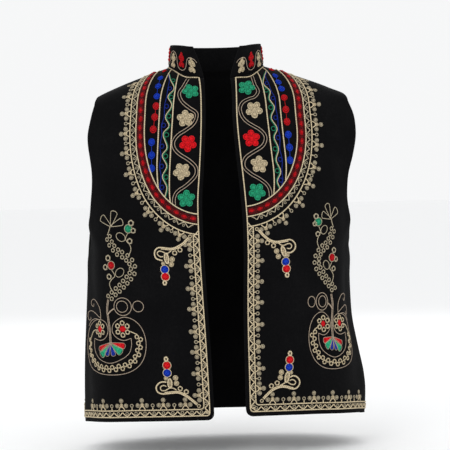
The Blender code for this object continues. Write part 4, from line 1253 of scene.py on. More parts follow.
# %% Borders of the fronts
ARCH_PITCH, TREFOIL_PITCH = 0.0152, 0.0345
TREFOILS = {    # places round the yoke, heights down the front edge, distances along the hem
    "right": (((128, -31), (133, -50), (138, -78), (138, -110), (136, -143), (128, -176), (114, -210),
               (93, -240), (67, -264), (39, -279)),
              (-289, -322, -357, -389, -425, -457, -492, -525), (45, 80, 115, 149, 184, 219)),
    "left": (((134, -27), (140, -45), (146, -69), (146, -102.5), (143, -137), (133, -173), (122, -202.5),
              (101, -232.5), (70, -258), (39, -271)),
             (-285, -316, -350, -382, -417, -452, -486.5, -518), (43, 77, 111, 145, 179, 213)),
}
for hand, side in HANDS.items():
    panel = "front_" + hand
    tips, heights, reaches = TREFOILS[hand]
    edge, border, outer = (LINES[name, hand] for name in ("edge_cord", "border_cord", "yoke_cord_outer"))
    work = Drawing()
    work.line(edge, CORD)
    work.line(LINES["neck_cord", hand], CORD)
    sew("couched_edge_cord_" + hand, panel, work, "cord_beige", ["edge_cord_" + hand])

    work, fine = Drawing(), Drawing()
    work.line(border, CORD)
    garland(work, fine, border, [nearest(border, (BORDER_CORD, z / 1000)) for z in heights], 0.84)
    on_hem = [(s / 1000, float(hem_v(panel, s / 1000)) + HEM_BORDER) for s in reaches]
    garland(work, fine, border, [nearest(border, place) for place in on_hem])
    start = nearest(edge, (EDGE_CORD, SWEEPS["yoke_cord_middle"][2] + RISE[hand] - 0.010))
    arches(work, fine, edge, BORDER_CORD - EDGE_CORD, ARCH_PITCH, first=start,
           last=lengths(edge)[-1] - 0.004)
    sew("couched_border_" + hand, panel, work, "cord_beige", ["border_cord_" + hand])
    sew("border_lobes_" + hand, panel, fine, "cord_beige/dull")

    work, fine = Drawing(), Drawing()
    work.line(outer, CORD)
    (s, v) = outer[-1]
    work.line([outer[-1], ((s + EDGE_CORD) / 2, v - 0.0008), (EDGE_CORD, v - 0.0010)], CORD)
    round_yoke = [nearest(outer, place) for place in lay(panel, tips)]
    garland(work, fine, outer, round_yoke, 0.92 if side < 0 else 1.08)
    middle = LINES["yoke_cord_middle", hand]
    arches(fine, fine, middle, 0.0088, 0.0146, 0.0016, eye=2.3, last=lengths(middle)[-1] - 0.006)
    sew("couched_yoke_garland_" + hand, panel, work, "cord_beige", ["yoke_cord_outer_" + hand])
    sew("yoke_lobes_" + hand, panel, fine, "cord_beige/dull")

    for name in ("yoke_cord_middle", "yoke_cord_inner", "column_cord_outer", "column_cord_inner"):
        work = Drawing()
        work.line(LINES[name, hand], CORD)
        sew("couched_" + name + "_" + hand, panel, work, "cord_beige", [name + "_" + hand])
print(COUNT)

# %% Hem of the back
work = Drawing()
work.line(LINES["hem_cord_back", "back"], CORD)
work.line(LINES["neck_cord", "back"], CORD)
sew("couched_hem_cord_back", "back", work, "cord_beige", ["hem_cord_back"])
work, fine = Drawing(), Drawing()
border = LINES["border_cord_back", "back"]
work.line(border, CORD)
total = lengths(border)[-1]
count = int(round(total / TREFOIL_PITCH))
garland(work, fine, border, (np.arange(count) + 0.5) * total / count)
arches(work, fine, LINES["hem_cord_back", "back"], HEM_BORDER - HEM_CORD, ARCH_PITCH)
sew("couched_border_back", "back", work, "cord_beige", ["border_cord_back"])
sew("border_lobes_back", "back", fine, "cord_beige/dull")
print("trefoils along the back:", count)

# %% [markdown]
# ### The seams
# Two bevelled edges side by side leave a groove that would let light in. A black thread sunk into each
# groove closes it, as the sewing does on real felt. Neck, shoulders and side seams all get one.

# %% Close the seams with black thread
NECK_THREAD, NECK_SUNK, SEAM_THREAD, SEAM_SUNK, SHORT = 0.0013, -0.0010, 0.0012, -0.0009, 0.001


def along_seam(panel, places):
    """Points of a panel's upper seam."""
    return [(s, float(seam_v(panel, s))) for s in places]


for panel in ("back", "front_right", "front_left"):
    work = Drawing()
    start = -NECK if panel == "back" else SHORT
    work.line(along_seam(panel, np.linspace(start, NECK, 90)), NECK_THREAD, lift=NECK_SUNK)
    for side in ((-1, 1) if panel == "back" else ()):
        shoulder = side * np.linspace(NECK, width("back", side, YOKE_Z) - SHORT, 70)
        work.line(along_seam(panel, shoulder), SEAM_THREAD, lift=SEAM_SUNK)
        heights = np.linspace(HEM_SIDE_Z + 0.0012, UNDERARM_Z - SHORT, 140)
        work.line([(side * width("back", side, z), z) for z in heights], SEAM_THREAD, lift=SEAM_SUNK)
    sew("seam_thread_" + panel, panel, work, "felt_black")
print(COUNT)

# %% [markdown]
# ## The yoke
# Between the sweep's cords runs a red plait: two thick strands that pass to and fro round a row of wound
# knots. Inside it stand three columns. The outer one is a string of berries; the middle one is a beige
# wave with a green line and rings on one side and blue on the other; the inner one is a winding double
# line with a flower in each bend. The bends are uneven, as they were drawn by hand with chalk.
#
# The plait is a rule: a bed of threads hides the felt, and two strands swing across it by a cosine,
# which brings them together at every pitch. A knot fills each opening between them.

# %% The red plait
PLAIT_PITCH, BED, BED_THREAD, BED_SUNK = 0.0142, (-0.0046, -0.0023, 0.0, 0.0023, 0.0046), 0.0020, -0.0007
STRAND, SWING, OVER = 0.0026, 0.0034, 0.0004
KNOT, SMALL_KNOT, KNOT_LIFT = (0.0049, 0.0041, 0.0050), (0.0022, 0.0022, 0.0026), 0.0008
for hand in HANDS:
    line = LINES["yoke_chain_band", hand]
    total = lengths(line)[-1]
    count = int(round(total / PLAIT_PITCH))
    run = np.arange(0.0, total, 0.0011)
    work = Drawing()
    for away in BED:
        work.line(beside(line, run, away)[0], BED_THREAD, lift=BED_SUNK)
    for sign in (-1, 1):
        swing = SWING * np.cos(math.pi * (run / total * count - 0.5))
        work.line(beside(line, run, sign * swing)[0], STRAND, lift=OVER * (sign > 0))
    # The plait wears the deep red, which is partly the wool's own colour and partly painted shade among its
    # threads.
    sew("red_plait_" + hand, "front_" + hand, work, "thread_red/deep_with_painted_shade", ["yoke_chain_band_" + hand])
    work = Drawing()
    feet, way = beside(line, (np.arange(count) + 0.5) * total / count)
    for foot, out in zip(feet, way):
        work.coil(*foot, KNOT, KNOT_LIFT, math.atan2(-out[0], out[1]))
    for foot in beside(line, np.arange(1, count) * total / count)[0]:
        work.coil(*foot, SMALL_KNOT, KNOT_LIFT)
    sew("red_knots_" + hand, "front_" + hand, work, "thread_red")
    print("plait of the", hand, "front:", count, "knots in", round(total * 1000), "mm")

# %% [markdown]
# ### Berries and waves
# A berry is one tall coil of many turns with a small eye on top; berries that lie close are joined by a
# fine thread. The waves follow places charted in millimetres on the cloth, and a smooth curve
# runs through them. The green line keeps beside the beige one, and the blue one swings out round its rings.

# %% The berries and the waves
BERRY, BERRY_EYE, EYE_LIFT, NEAR_BERRY, DENSE = (0.0056, 0.0063, 0.0052), 0.0016, 0.0022, 0.030, (1.8, 0.14)
BERRIES = {
    "right": (((77, -7), (79, -67), (81, -85), (83, -105)),
              ((78, -20), (78, -34), (78, -51), (85, -125), (84, -146), (83, -167))),
    "left": (((83, -8), (84.6, -57), (86.5, -77), (87.2, -96.8)),
             ((80, -19.5), (80.5, -30.7), (82.5, -42.2), (87.4, -117.5), (87.2, -138), (85.8, -158.5))),
}
WAVES = {   # the bends of the beige wave, the green rings inside it and the blue rings outside it
    "right": (((62, -13), (57, -24), (50, -39), (60, -52), (54, -67), (64, -85), (58, -100), (67, -113),
               (60, -134), (67, -147), (59, -164), (65, -180), (57, -197), (59, -212)),
              ((51.5, -25), (54.5, -53), (58.5, -84), (61.5, -114), (61.5, -148), (59, -181)),
              ((57, -39), (62, -68), (66.5, -99), (68, -132), (67, -164), (64.5, -197))),
    "left": (((64, -12), (56, -21), (52, -34), (62, -46), (60, -59), (68, -73.5), (62, -90), (70, -107.5),
              (64, -122), (69, -140), (63, -158), (68, -176), (61, -191), (64, -202)),
             ((56, -45), (62, -73), (64, -107.5), (63.5, -140), (62.5, -175)),
             ((58, -33), (66, -58), (69, -90), (70, -122), (69.5, -157), (66.5, -190))),
}
for hand in HANDS:
    panel = "front_" + hand
    reds, blues = (lay(panel, row) for row in BERRIES[hand])
    for name, thread, row in (("red", "thread_red", reds), ("blue", "thread_blue/bright", blues)):
        work = Drawing()
        for s, v in row:
            work.coil(s, v, BERRY)
            work.coil(s, v, BERRY_EYE, EYE_LIFT)
        for a, b in zip(row[:-1], row[1:]):
            if np.linalg.norm(b - a) < NEAR_BERRY:
                work.line(np.linspace(a, b, 8), 0.0008)
        sew(name + "_berries_" + hand, panel, work, thread, Coil_turns=DENSE[0], Coil_cord=DENSE[1])
    bends, greens, rings = (lay(panel, row) for row in WAVES[hand])
    wave = smooth(bends)
    run = np.linspace(0, lengths(wave)[-1], len(wave))
    work = Drawing()
    work.line(wave, 0.0014, lift=0.0003)
    sew("beige_wave_" + hand, panel, work, "cord_beige")
    work = Drawing()
    work.line(beside(wave, run, -0.0015)[0], 0.0014)
    for s, v in greens:
        work.line(oval((s, v), 0.0034, 0.0034), 0.0012, closed=True)
    sew("green_wave_" + hand, panel, work, "thread_green/deep")
    work = Drawing()
    round_rings = []
    last = len(bends) - 1
    for k, bend in enumerate(bends):
        is_out = bend[0] > (bends[max(k - 1, 0), 0] + bends[min(k + 1, last), 0]) / 2
        near = rings[np.argmin(np.abs(rings[:, 1] - bend[1]))]
        round_rings.append((bend[0] + 0.0019, bend[1]) if is_out or abs(near[1] - bend[1]) > 0.012
                           else (near[0] + 0.0034, near[1]))
    work.line(smooth(round_rings), 0.0015)
    for s, v in rings:
        work.line(oval((s, v), 0.0030, 0.0034), 0.0016, closed=True)
    sew("blue_wave_" + hand, panel, work, "thread_blue/deep")
    print(hand, "front:", len(reds), "red and", len(blues), "blue berries,", len(bends), "bends")

# %% [markdown]
# ### The winding line and its flowers
# The winding line is one curve drawn twice, a little to each side, which keeps the pair even round every
# bend. A flower is a ring of five coils with a sixth on top. A maker winds such a petal from one thread,
# from its edge inwards, so a coil gives the real shape and needs no petal model.

# %% The winding line and the flowers
PAIR, PETALS, PETAL_REACH = 0.0022, 5, 0.0082
PETAL, FLOWER_HEART = (0.0061, 0.0056, 0.0052), (0.0050, 0.0050, 0.0040)
WINDING = {
    "right": ((25.4, -23.7), (33.2, -34.4), (41.6, -47.1), (37.7, -61), (26.6, -70.6), (15.5, -78.7),
              (14.4, -86.9), (19.8, -98.1), (30.8, -106.9), (42.8, -114.5), (49.8, -124.2), (48.9, -134.7),
              (40.7, -144.5), (25.7, -154.2), (15.2, -163.2), (11.4, -171), (12.6, -179.7), (19, -188),
              (28.5, -196.5), (37, -202), (42, -207.5), (44.6, -216), (44.3, -226)),
    "left": ((32.5, -20.5), (36.8, -34.3), (42, -46), (36.5, -55), (28, -58), (17.5, -63.2), (12.6, -71.8),
             (12.9, -79.8), (16.1, -88.4), (22.1, -95.7), (31, -101.9), (40.4, -107.6), (47, -114),
             (50, -121), (47.8, -129.5), (42.2, -136.2), (33.8, -141.2), (25.4, -145.8), (17, -151),
             (11.8, -157), (9.9, -163.8), (11.8, -171), (22, -180.3), (30.5, -185.5), (38.3, -191.3),
             (44, -197), (47.5, -205), (47.8, -216)),
}
FLOWERS = {   # thread, place on the right front, place on the left front, turn in degrees
    "flower_1": ("thread_green", (23.0, -44.0), (23.4, -39.5), 70),
    "flower_2": ("cord_beige", (32.0, -88.5), (34.9, -76.4), 58),
    "flower_3": ("thread_red/bright", (26.9, -128.5), (27.3, -122.8), 90),
    "flower_4": ("cord_beige", (34.6, -172.8), (34.8, -164.3), 84),
    "flower_5": ("thread_green", (25.2, -216.0), (26.5, -207.2), 54),
}
for hand, side in HANDS.items():
    panel = "front_" + hand
    winding = smooth(lay(panel, WINDING[hand]))
    run = np.linspace(0, lengths(winding)[-1], len(winding))
    work = Drawing()
    for away in (-PAIR, PAIR):
        work.line(beside(winding, run, away)[0], THIN)
    sew("winding_line_" + hand, panel, work, "thread_beige")
    for name, (thread, right_place, left_place, turned) in FLOWERS.items():
        (s, v), = lay(panel, [right_place if side < 0 else left_place])
        work = Drawing()
        for petal in range(PETALS):
            angle = math.radians(turned + 360 // PETALS * petal) * side
            work.coil(s + PETAL_REACH * math.cos(angle), v + PETAL_REACH * math.sin(angle), PETAL, 0.0,
                      angle + math.pi)
        work.coil(s, v, FLOWER_HEART, 0.0010)
        sew("wound_" + name + "_" + hand, panel, work, thread, [name + "_" + hand])
print(COUNT)

# %% [markdown]
# ## Sprays at the corners of the border
# Where the border turns under the yoke, and again at the hem, a spray leaves it: a small ring, then a
# stem of double cord with two buds, which curls round a tight hook to a wound body with two petals. From
# the body hang a blue and a red disc with a thin beige rim, and a drop. The places are listed in a table.

# %% Work the sprays
DISC, DISC_RIM = (0.0061, 0.0061, 0.0052), 0.0067
SPRAYS = {   # ring, stem, hook, buds, petals, the body from end to end, small coil, blue, red, drop
    ("upper", "right"):
        ((20.8, -275.4),
         ((24, -277), (28.4, -281.7), (33.8, -286.6), (44.6, -292.4), (50.9, -293.8), (57, -293.4),
          (69, -292), (74.2, -293.3), (77.8, -297.4), (78.6, -302), (77.8, -306.7), (74.8, -310.1),
          (66.2, -312.7)),
         ((51.4, -297.2), (56.4, -300.7), (60, -301.6), (64.3, -299.3), (69.3, -297.5), (73.1, -298.7),
          (74.2, -302), (72.3, -304.7), (69, -306.7), (64.9, -306)),
         ((37.7, -296.3), (46.2, -300.8)), ((50.9, -310.7), (52.8, -318.7)),
         ((60.5, -301.3), (58.8, -317.2)), (65.7, -317.4), (63.8, -326.6), (63.5, -338.0), (65.0, -347.6)),
    ("lower", "right"):
        ((23.6, -542.0),
         ((26.8, -540), (30.2, -537), (35.6, -532.4), (41.3, -527.7), (51.1, -522), (57.7, -520.7),
          (72, -521.9), (79.2, -522.4), (85.2, -521), (88.8, -517.7), (89.8, -512.6), (87.5, -508.1),
          (83.2, -504.6), (78.1, -503.4), (72.6, -504)),
         ((57.5, -516.5), (62, -513.6), (68, -513.2), (72.6, -515.8), (76.7, -517.4), (81.5, -516.8),
          (83.2, -513.1), (81, -510.1), (77.2, -509), (73, -510.7)),
         ((51.4, -514.2), (42.2, -519.4)), ((57.0, -505.9), (58.0, -497.3)),
         ((67.4, -512.7), (67.1, -498.7)), (73.4, -498.1), (70.7, -489.4), (70.4, -477.6), (70.9, -467.8)),
    ("upper", "left"):
        ((21.6, -266.2),
         ((25.1, -267.4), (29.9, -273), (35.9, -279), (41.6, -283.5), (47.8, -286.1), (55.5, -286.9),
          (70.4, -284.8), (75, -284.3), (79.7, -286.4), (83.9, -291.5), (83.9, -297.7), (80.3, -302.6),
          (74.5, -305.3), (69.6, -304.6)),
         ((55.8, -289.1), (60.8, -292.9), (66, -293), (70.7, -290.8), (75.9, -291.1), (78.1, -295),
          (74.8, -298.7), (69.6, -298)),
         ((37.9, -288.2), (47.6, -293.2)), ((52.5, -302), (55.3, -310.5)), ((61.6, -295.1), (66.2, -310.6)),
         (70.7, -309.2), (67.4, -319.2), (68.8, -330.4), (69.8, -340.2)),
    ("lower", "left"):
        ((25.4, -537.0),
         ((28.6, -534.2), (35, -528), (42.5, -521.8), (50.3, -518), (58.3, -516.6), (66, -517.7),
          (72.8, -520), (79.2, -520.4), (84.5, -517.6), (87.7, -511.9), (86.8, -506), (82, -501),
          (76.2, -499.9), (71.8, -502)),
         ((55, -514), (61, -511.5), (65.2, -508.8), (69, -510.3), (72.6, -512.8), (77.8, -513.8),
          (81.2, -510.9), (79.2, -507.2), (74.8, -505.6), (71, -507.5)),
         ((41.3, -514.2), (50.6, -510.0)), ((56.1, -501.5), (58.0, -493.3)),
         ((65.2, -509.7), (68.7, -493.4)), (74.0, -494.7), (70.9, -486), (72.3, -474.4), (72.6, -464.4)),
}


def disc(drawing, rims, s, v):
    """A wound disc in a thin beige rim."""
    drawing.coil(s, v, DISC, 0.0002)
    rims.line(oval((s, v), DISC_RIM, DISC_RIM), 0.0012, closed=True)


for (height, hand), chart in SPRAYS.items():
    start, stem, hook, buds, petals, body, small, blue, red, drop = chart
    panel = "front_" + hand
    inside = -1 if height == "upper" else 1
    cords = Drawing()
    (s, v), = lay(panel, [start])
    cords.loop(s, v, 0.0032)
    line = smooth(lay(panel, stem))
    cords.line(line, 0.0026)
    run = np.linspace(0, lengths(line)[-1] * 0.58, 60)
    cords.line(beside(line, run, 0.0021 * inside)[0], 0.0020, lift=0.0002)
    cords.line(smooth(lay(panel, hook)), 0.0019)
    for s, v in lay(panel, buds):
        cords.loop(s, v, 0.0043)
    for s, v in lay(panel, petals):
        cords.coil(s, v, (0.0044, 0.0044, 0.0044))
    (a, b), (c, d) = lay(panel, body)
    tilt, half = math.atan2(d - b, c - a), math.hypot(c - a, d - b) / 2
    cords.line(oval(((a + c) / 2, (b + d) / 2), half, 0.0031, tilt), 0.0026, closed=True)
    cords.coil((a + c) / 2, (b + d) / 2, (half - 0.001, 0.0028, 0.0030), 0.0, tilt)
    (s, v), = lay(panel, [small])
    cords.coil(s, v, (0.0034, 0.0034, 0.0034))
    for place, thread in ((blue, "thread_blue"), (red, "thread_red")):
        (s, v), = lay(panel, [place])
        work = Drawing()
        disc(work, cords, s, v)
        sew(thread.split("_")[1] + "_disc_" + height + "_" + hand, panel, work, thread + "/bright",
            Coil_turns=DENSE[0], Coil_cord=DENSE[1])
    (e, f), = lay(panel, [drop])
    cords.line(oval((e, f), 0.0033, 0.0025, math.atan2(f - v, e - s)), 0.0029, closed=True)
    sew("spray_" + height + "_" + hand, panel, cords, "cord_beige")
print("sprays", list(SPRAYS))

# %% [markdown]
# ## The tree of life at each side
# Low on each front stands a plant in an open basket: a big curl of fine cord, a chain of thick rings inside
# it, two rosettes and a fan of six coloured leaves in satin stitch. Its stem climbs towards the
# armhole as a double row of rings, past two buds, and ends in an open flower. The wearer's left plant was
# drawn narrower. So it is the same chart, squeezed. All places are millimetres on the right front.

# %% Chart of the plant
CURL = ((127, -435), (140, -438.5), (152, -434), (159, -424), (155, -411), (140, -402), (124, -404.5),
        (111, -415), (104, -430), (102.5, -447), (107, -465), (118, -480), (137, -490), (163, -493.5),
        (193, -491.5), (220, -484), (237, -471), (243, -454), (242, -437), (232, -422), (207, -409.5),
        (184, -406.5), (171, -411.5), (167, -422), (172, -434), (185, -439.5), (206, -437.5))
BASKET = ((127, -435), (127, -447), (132, -459), (145, -468.5), (165, -475), (186, -470.5), (200, -461),
          (206, -449.5), (206, -438))
CHAIN = ((116, -429), (112.5, -439), (114, -449), (117, -459), (122, -467.5), (132, -476), (143, -480.5),
         (153, -482), (164, -484), (177, -484), (191, -481.5), (206, -474.5), (218, -466), (224, -452),
         (224, -438))
CHAIN_ENDS = (((116, -429), (128, -424)), ((224, -438), (212, -427), (200, -423)))
STEM = ((163, -443), (163.5, -421), (166, -403), (167.5, -391), (165.5, -380), (164, -374))
FORK = ((166.5, -398), (160, -392), (153, -388))
ROSETTES = ((140.4, -420.4, 5.3, 4.9, 9.5), (186.5, -421.6, 5.8, 4.9, 9.5))
FAN = (("thread_red", (189, -455), 4.8), ("thread_red", (137.5, -448), 4.8),
       ("thread_green", (185, -464.5), 6.2), ("thread_green", (143.5, -458.5), 6.2),
       ("thread_blue", (172, -464), 4.2), ("thread_blue", (157.5, -463.5), 4.2))
TENDRILS = (((184, -406), (184, -396), (188, -386), (200, -377.5), (216, -375), (226, -379), (223, -385),
             (214, -386.5), (213, -382)),
            ((183, -404), (190, -402), (202, -397.5), (222, -394), (240, -396.5), (245, -403), (238, -409),
             (227, -408.5), (226, -404)),
            ((184, -407), (204, -406), (222, -410), (236, -419)))
CLIMB = ((164, -373.5), (156, -367), (149, -361), (141, -355), (132, -346.5), (125, -340), (119, -333.5),
         (116, -325), (119, -315), (125, -308.5), (132, -303.5), (140, -300), (147, -294), (153.5, -287),
         (157, -279), (160, -271))
# A bud: its thread, the stem to it, its large loop, three small rings, its disc.
BUDS = (("thread_green",
         ((123.5, -305), (118.5, -296), (119, -288), (125, -281), (126, -276), (122, -269)),
         (135, -274.5, 8.6, 6.4, 0.5), ((119, -281, 5.2), (112, -264.5, 4.8), (115, -252.5, 5.4)),
         (120.5, -261.5)),
        ("thread_red",
         ((151, -365), (158.5, -356), (160.5, -348), (155, -341), (149.5, -336), (155, -327)),
         (140.5, -331, 8.6, 6.4, -0.6), ((160.5, -337.5, 5.2), (167.5, -322.5, 5.2), (161.5, -308, 5.6)),
         (156, -319.5)))
TOP_STEM = ((160, -271), (156.5, -265), (153, -257))
TOP_PETALS = ((170, -242, 6.4), (129.5, -249.5, 5.8), (143, -233, 6.0))
FAN_FOOT, TOP_FOOT = (163.5, -443), (152, -257)
BIG_RINGS = (((138.5, -385), 15.0), ((139.5, -385), 9.6), ((112, -384.5), 9.2))
ROUND_TIP = 0.86          # from this share of its length on, a leaf rounds off


def leaf(base, tip, wide):
    """Outline of a leaf, slim at its base and round at its tip, in millimetres."""
    base, tip = np.asarray(base, float), np.asarray(tip, float)
    way = tip - base
    side = np.array([-way[1], way[0]]) / np.linalg.norm(way)
    share = np.concatenate([np.linspace(0, ROUND_TIP, 9),
                            ROUND_TIP + 0.14 * np.sin(np.linspace(0.3, math.pi / 2, 5))])
    half = wide * np.where(share < ROUND_TIP, 0.12 + 0.88 * (share / ROUND_TIP) ** 0.85,
                           np.sqrt(np.maximum(1 - ((share - ROUND_TIP) / 0.14) ** 2, 0)))
    right = [base + way * t + side * h for t, h in zip(share, half)]
    left = [base + way * t - side * h for t, h in zip(share, half)]
    return right + left[::-1][1:]


print("plant chart:", len(CURL + BASKET + CHAIN + STEM + CLIMB), "places and", len(FAN), "leaves")

# %% [markdown]
# ### Working the plants
# Curls, basket and tendrils are lines of fine thread. The chain is one row of thick rings set a little
# to each side in turn, so that they overlap as chain stitches do. The climbing stem has two rows. The
# leaves are satin stitch, threads side by side inside a rim that hides their ends.

# %% Work the plants
PLACED = {  # how the chart is laid on a front: its basket, and its climbing part
    "right": (dict(shift=(0, 0), scale=1.0, pivot=163.5), dict(shift=(0, 0), scale=1.0, pivot=160)),
    "left": (dict(shift=(-12.0, 0), scale=0.73, pivot=163.5), dict(shift=(-3.0, 4.0), scale=0.78, pivot=160)),
}
CHAIN_PITCH, CHAIN_RING, CHAIN_AWAY = 0.0058, 0.0040, 0.0023
CLIMB_PITCH, CLIMB_RING, CLIMB_AWAY, CLIMB_SKEW = 0.0090, 0.0039, 0.0038, 0.0014
for hand in HANDS:
    panel = "front_" + hand
    low, high = PLACED[hand]
    fine = Drawing()
    for path in (CURL, BASKET, *TENDRILS):
        fine.line(smooth(lay(panel, path, **low)), 0.0011)
    stem = smooth(lay(panel, STEM, **low))
    run = np.linspace(0, lengths(stem)[-1], len(stem))
    for away in (-0.0011, 0.0011):
        fine.line(beside(stem, run, away)[0], 0.0013)
    fine.line(smooth(lay(panel, FORK, **low)), 0.0022)
    for centre, reach in BIG_RINGS:
        fine.line(smooth(lay(panel, oval(centre, reach, reach * 0.93), **low), closed=True), 0.0012)
    sew("plant_curls_" + hand, panel, fine, "thread_beige")

    chain = Drawing()
    line = smooth(lay(panel, CHAIN, **low))
    count = int(lengths(line)[-1] / CHAIN_PITCH)
    for k, run in enumerate((np.arange(count) + 0.5) * lengths(line)[-1] / count):
        (s, v), _ = beside(line, run, CHAIN_AWAY * (-1) ** k)
        chain.loop(s, v, CHAIN_RING, 0.0004 * (k % 2))
    for path in CHAIN_ENDS:
        chain.line(smooth(lay(panel, path, **low)), 0.0016)
    for s, v, *_, reach in ROSETTES:
        (s, v), = lay(panel, [(s, v)], **low)
        for k in range(6):
            angle = math.radians(30 + 60 * k)
            across = reach * math.cos(angle) * (0.75 + 0.25 * low["scale"])
            chain.loop(s + across / 1000, v + reach * math.sin(angle) / 1000, 0.0044)
    sew("plant_chain_" + hand, panel, chain, "cord_beige")

    climb = Drawing()
    line = smooth(lay(panel, CLIMB, **high))
    count = int(lengths(line)[-1] / CLIMB_PITCH)
    for run in (np.arange(count) + 0.5) * lengths(line)[-1] / count:
        for sign in (-1, 1):
            (s, v), _ = beside(line, run + sign * CLIMB_SKEW, sign * CLIMB_AWAY)
            climb.loop(s, v, CLIMB_RING)
    climb.line(smooth(lay(panel, TOP_STEM, **high)), 0.0016)
    for s, v, wide in TOP_PETALS:
        climb.line(smooth(lay(panel, leaf(TOP_FOOT, (s, v), wide), **high), closed=True), 0.0012)
    for _, _, (s, v, long, wide, angle), _, _ in BUDS:
        climb.line(smooth(lay(panel, oval((s, v), long, wide, angle), **high), closed=True), 0.0012)
    for thread, path, _, rings, place in BUDS:
        climb.line(smooth(lay(panel, path, **high)), 0.0014)
        for s, v, radius in rings:
            (s, v), = lay(panel, [(s, v)], **high)
            climb.loop(s, v, radius / 1000 * (0.7 + 0.3 * high["scale"]))
        (s, v), = lay(panel, [place], **high)
        work = Drawing()
        disc(work, climb, s, v)
        sew("bud_disc_" + thread.split("_")[1] + "_" + hand, panel, work, thread, Coil_turns=1.6,
            Coil_cord=0.15)
    sew("climbing_stem_" + hand, panel, climb, "cord_beige/dull")

    rims = Drawing()
    for thread in ("thread_red", "thread_green", "thread_blue"):
        work = Drawing()
        for name, tip, wide in FAN:
            if name == thread:
                outline = lay(panel, leaf(FAN_FOOT, tip, wide), **low)
                way = outline[len(outline) // 2] - outline[0]
                work.satin(outline, math.atan2(way[1], way[0]))
                rims.line(outline, 0.0008, closed=True, lift=0.0003)
        if thread == "thread_red":
            for s, v, long, wide, _ in ROSETTES:
                work.satin(lay(panel, oval((s, v), wide, long), **low), math.pi / 2)
        sew("satin_leaves_" + thread.split("_")[1] + "_" + hand, panel, work, thread)
    sew("leaf_rims_" + hand, panel, rims, "thread_beige")
print(COUNT)

# %% [markdown]
# ## The collar's flowers
# Tall flowers stand all round the collar, beige and red in turn, each wound from six coils. A fine
# thread waves between them, over the tops of the beige ones and under the red ones. The collar opens
# at its ends, so a place on it is leaned back there to keep the last flowers upright.

# %% Work the collar
FIRST_FLOWER, FLOWER_COUNT, FLARE_REACH, FLARE_LEAN = 0.0165, 17, 0.031, 0.30
MOTIF = ((0, 9.2, 3.8, 3.4), (-3.4, 3.8, 4.1, 3.8), (3.4, 3.8, 4.1, 3.8), (0, -2.2, 3.4, 3.3),
         (-3.2, -7.6, 3.8, 3.6), (3.2, -7.6, 3.8, 3.6))    # across, up, half long, half wide
heights = np.linalg.norm(CHARTS["collar"].points[-1] - CHARTS["collar"].points[0], axis=1)


def on_collar(s, up):
    """A place on the collar's chart for a true height above the seam; near its ends it is kept upright."""
    s, up = np.broadcast_arrays(np.asarray(s, float), np.asarray(up, float))
    flare = np.exp(-(s / FLARE_REACH) ** 2) - np.exp(-((COLLAR_LENGTH - s) / FLARE_REACH) ** 2)
    return np.stack([s - flare * FLARE_LEAN * (up - 0.018),
                     up * COLLAR_HEIGHT / np.interp(s, s_even, heights)], axis=-1)


places = np.linspace(FIRST_FLOWER, COLLAR_LENGTH - FIRST_FLOWER, FLOWER_COUNT)
for thread, chosen, stand in (("cord_beige", places[::2], 0.0160), ("thread_red", places[1::2], 0.0215)):
    work = Drawing()
    for s in chosen:
        near_end = math.exp(-(min(s, COLLAR_LENGTH - s) / 0.03) ** 2)
        for across, up, long, wide in MOTIF:
            s_coil, v_coil = on_collar(s + across / 1000, stand + 0.003 * near_end + up / 1000)
            work.coil(s_coil, v_coil, (wide / 1000, long / 1000, 0.0036), 0.0002)
    sew("collar_flowers_" + thread.split("_")[1], "collar", work, thread)
work = Drawing()
run = np.linspace(places[0] - 0.008, places[-1] + 0.008, 520)
phase = (run - places[0]) / (places[1] - places[0]) * math.pi
work.line(on_collar(run + 0.0024 * np.sin(2 * phase), 0.0185 + 0.0130 * np.cos(phase)), 0.0011)
sew("collar_wave", "collar", work, "thread_beige")
print("collar flowers", len(places), "at a pitch of", round(float(places[1] - places[0]) * 1000, 1), "mm")
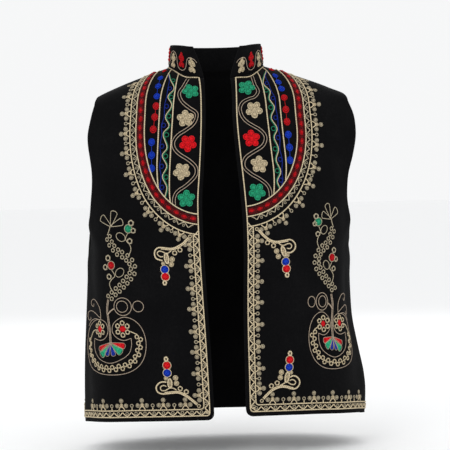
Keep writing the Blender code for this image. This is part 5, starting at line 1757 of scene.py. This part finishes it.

# %% [markdown]
# ## Light, floor and the felt pieces
# A large soft key light stands to the upper left, a weaker fill to the right and a pale room all round,
# so that the black felt still shows its folds while the threads keep their colours. The floor is plain
# and pale.

# %% Studio lights
LIT_PLACE = Vector((0, 0, -0.28))


def soft_light(name, place, size, power):
    """A square soft box that faces the vest."""
    lamp = bpy.data.lights.new(name, "AREA")
    lamp.shape, lamp.size, lamp.energy = "SQUARE", size, power
    made = bpy.data.objects.new(name, lamp)
    made.location = place
    made.rotation_euler = (LIT_PLACE - Vector(place)).to_track_quat("-Z", "Y").to_euler()
    scene.collection.objects.link(made)


soft_light("key", (-1.3, -2.3, 1.3), 1.6, 20)
soft_light("fill", (1.9, -1.9, 0.5), 1.8, 7)
soft_light("back", (0.3, 2.3, 1.2), 2.0, 12)
world = bpy.data.worlds.new("pale_room")
world.use_nodes = True
world.node_tree.nodes["Background"].inputs["Color"].default_value = (0.945, 0.95, 0.955, 1)
world.node_tree.nodes["Background"].inputs["Strength"].default_value = 0.98
scene.world = world
scene.view_settings.view_transform = "Standard"
print("lights", [light.name for light in bpy.data.lights])

# %% The floor
FLOOR_SIZE, FLOOR_DOWN = 60.0, 0.045      # metres from its middle to an edge, and under the hem
floor = bmesh.new()
bmesh.ops.create_grid(floor, x_segments=1, y_segments=1, size=FLOOR_SIZE)
bmesh.ops.translate(floor, verts=floor.verts, vec=(0, 0, HEM_SIDE_Z - FLOOR_DOWN))
floor_mesh = bpy.data.meshes.new("floor")
floor.to_mesh(floor_mesh)
floor.free()
floor_object = bpy.data.objects.new("floor", floor_mesh)
scene.collection.objects.link(floor_object)
pale, _, pale_shader = finish("pale_floor")
preset(pale_shader, {"Base Color": (0.965, 0.968, 0.97, 1), "Roughness": 0.9})
floor_mesh.materials.append(pale)
print("floor at", round((HEM_SIDE_Z - FLOOR_DOWN) * 1000), "mm")

# %% [markdown]
# ## The felt pieces in place of the packed ones
# The four felt pieces stand for the packed ones. Each keeps the rectangle that it is cut from and the area
# of its cut; here it is hung on the body, and its packed piece is hidden.

for name, sheet in SHEETS.items():
    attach(sheet.felt, "root")
    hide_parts(name)
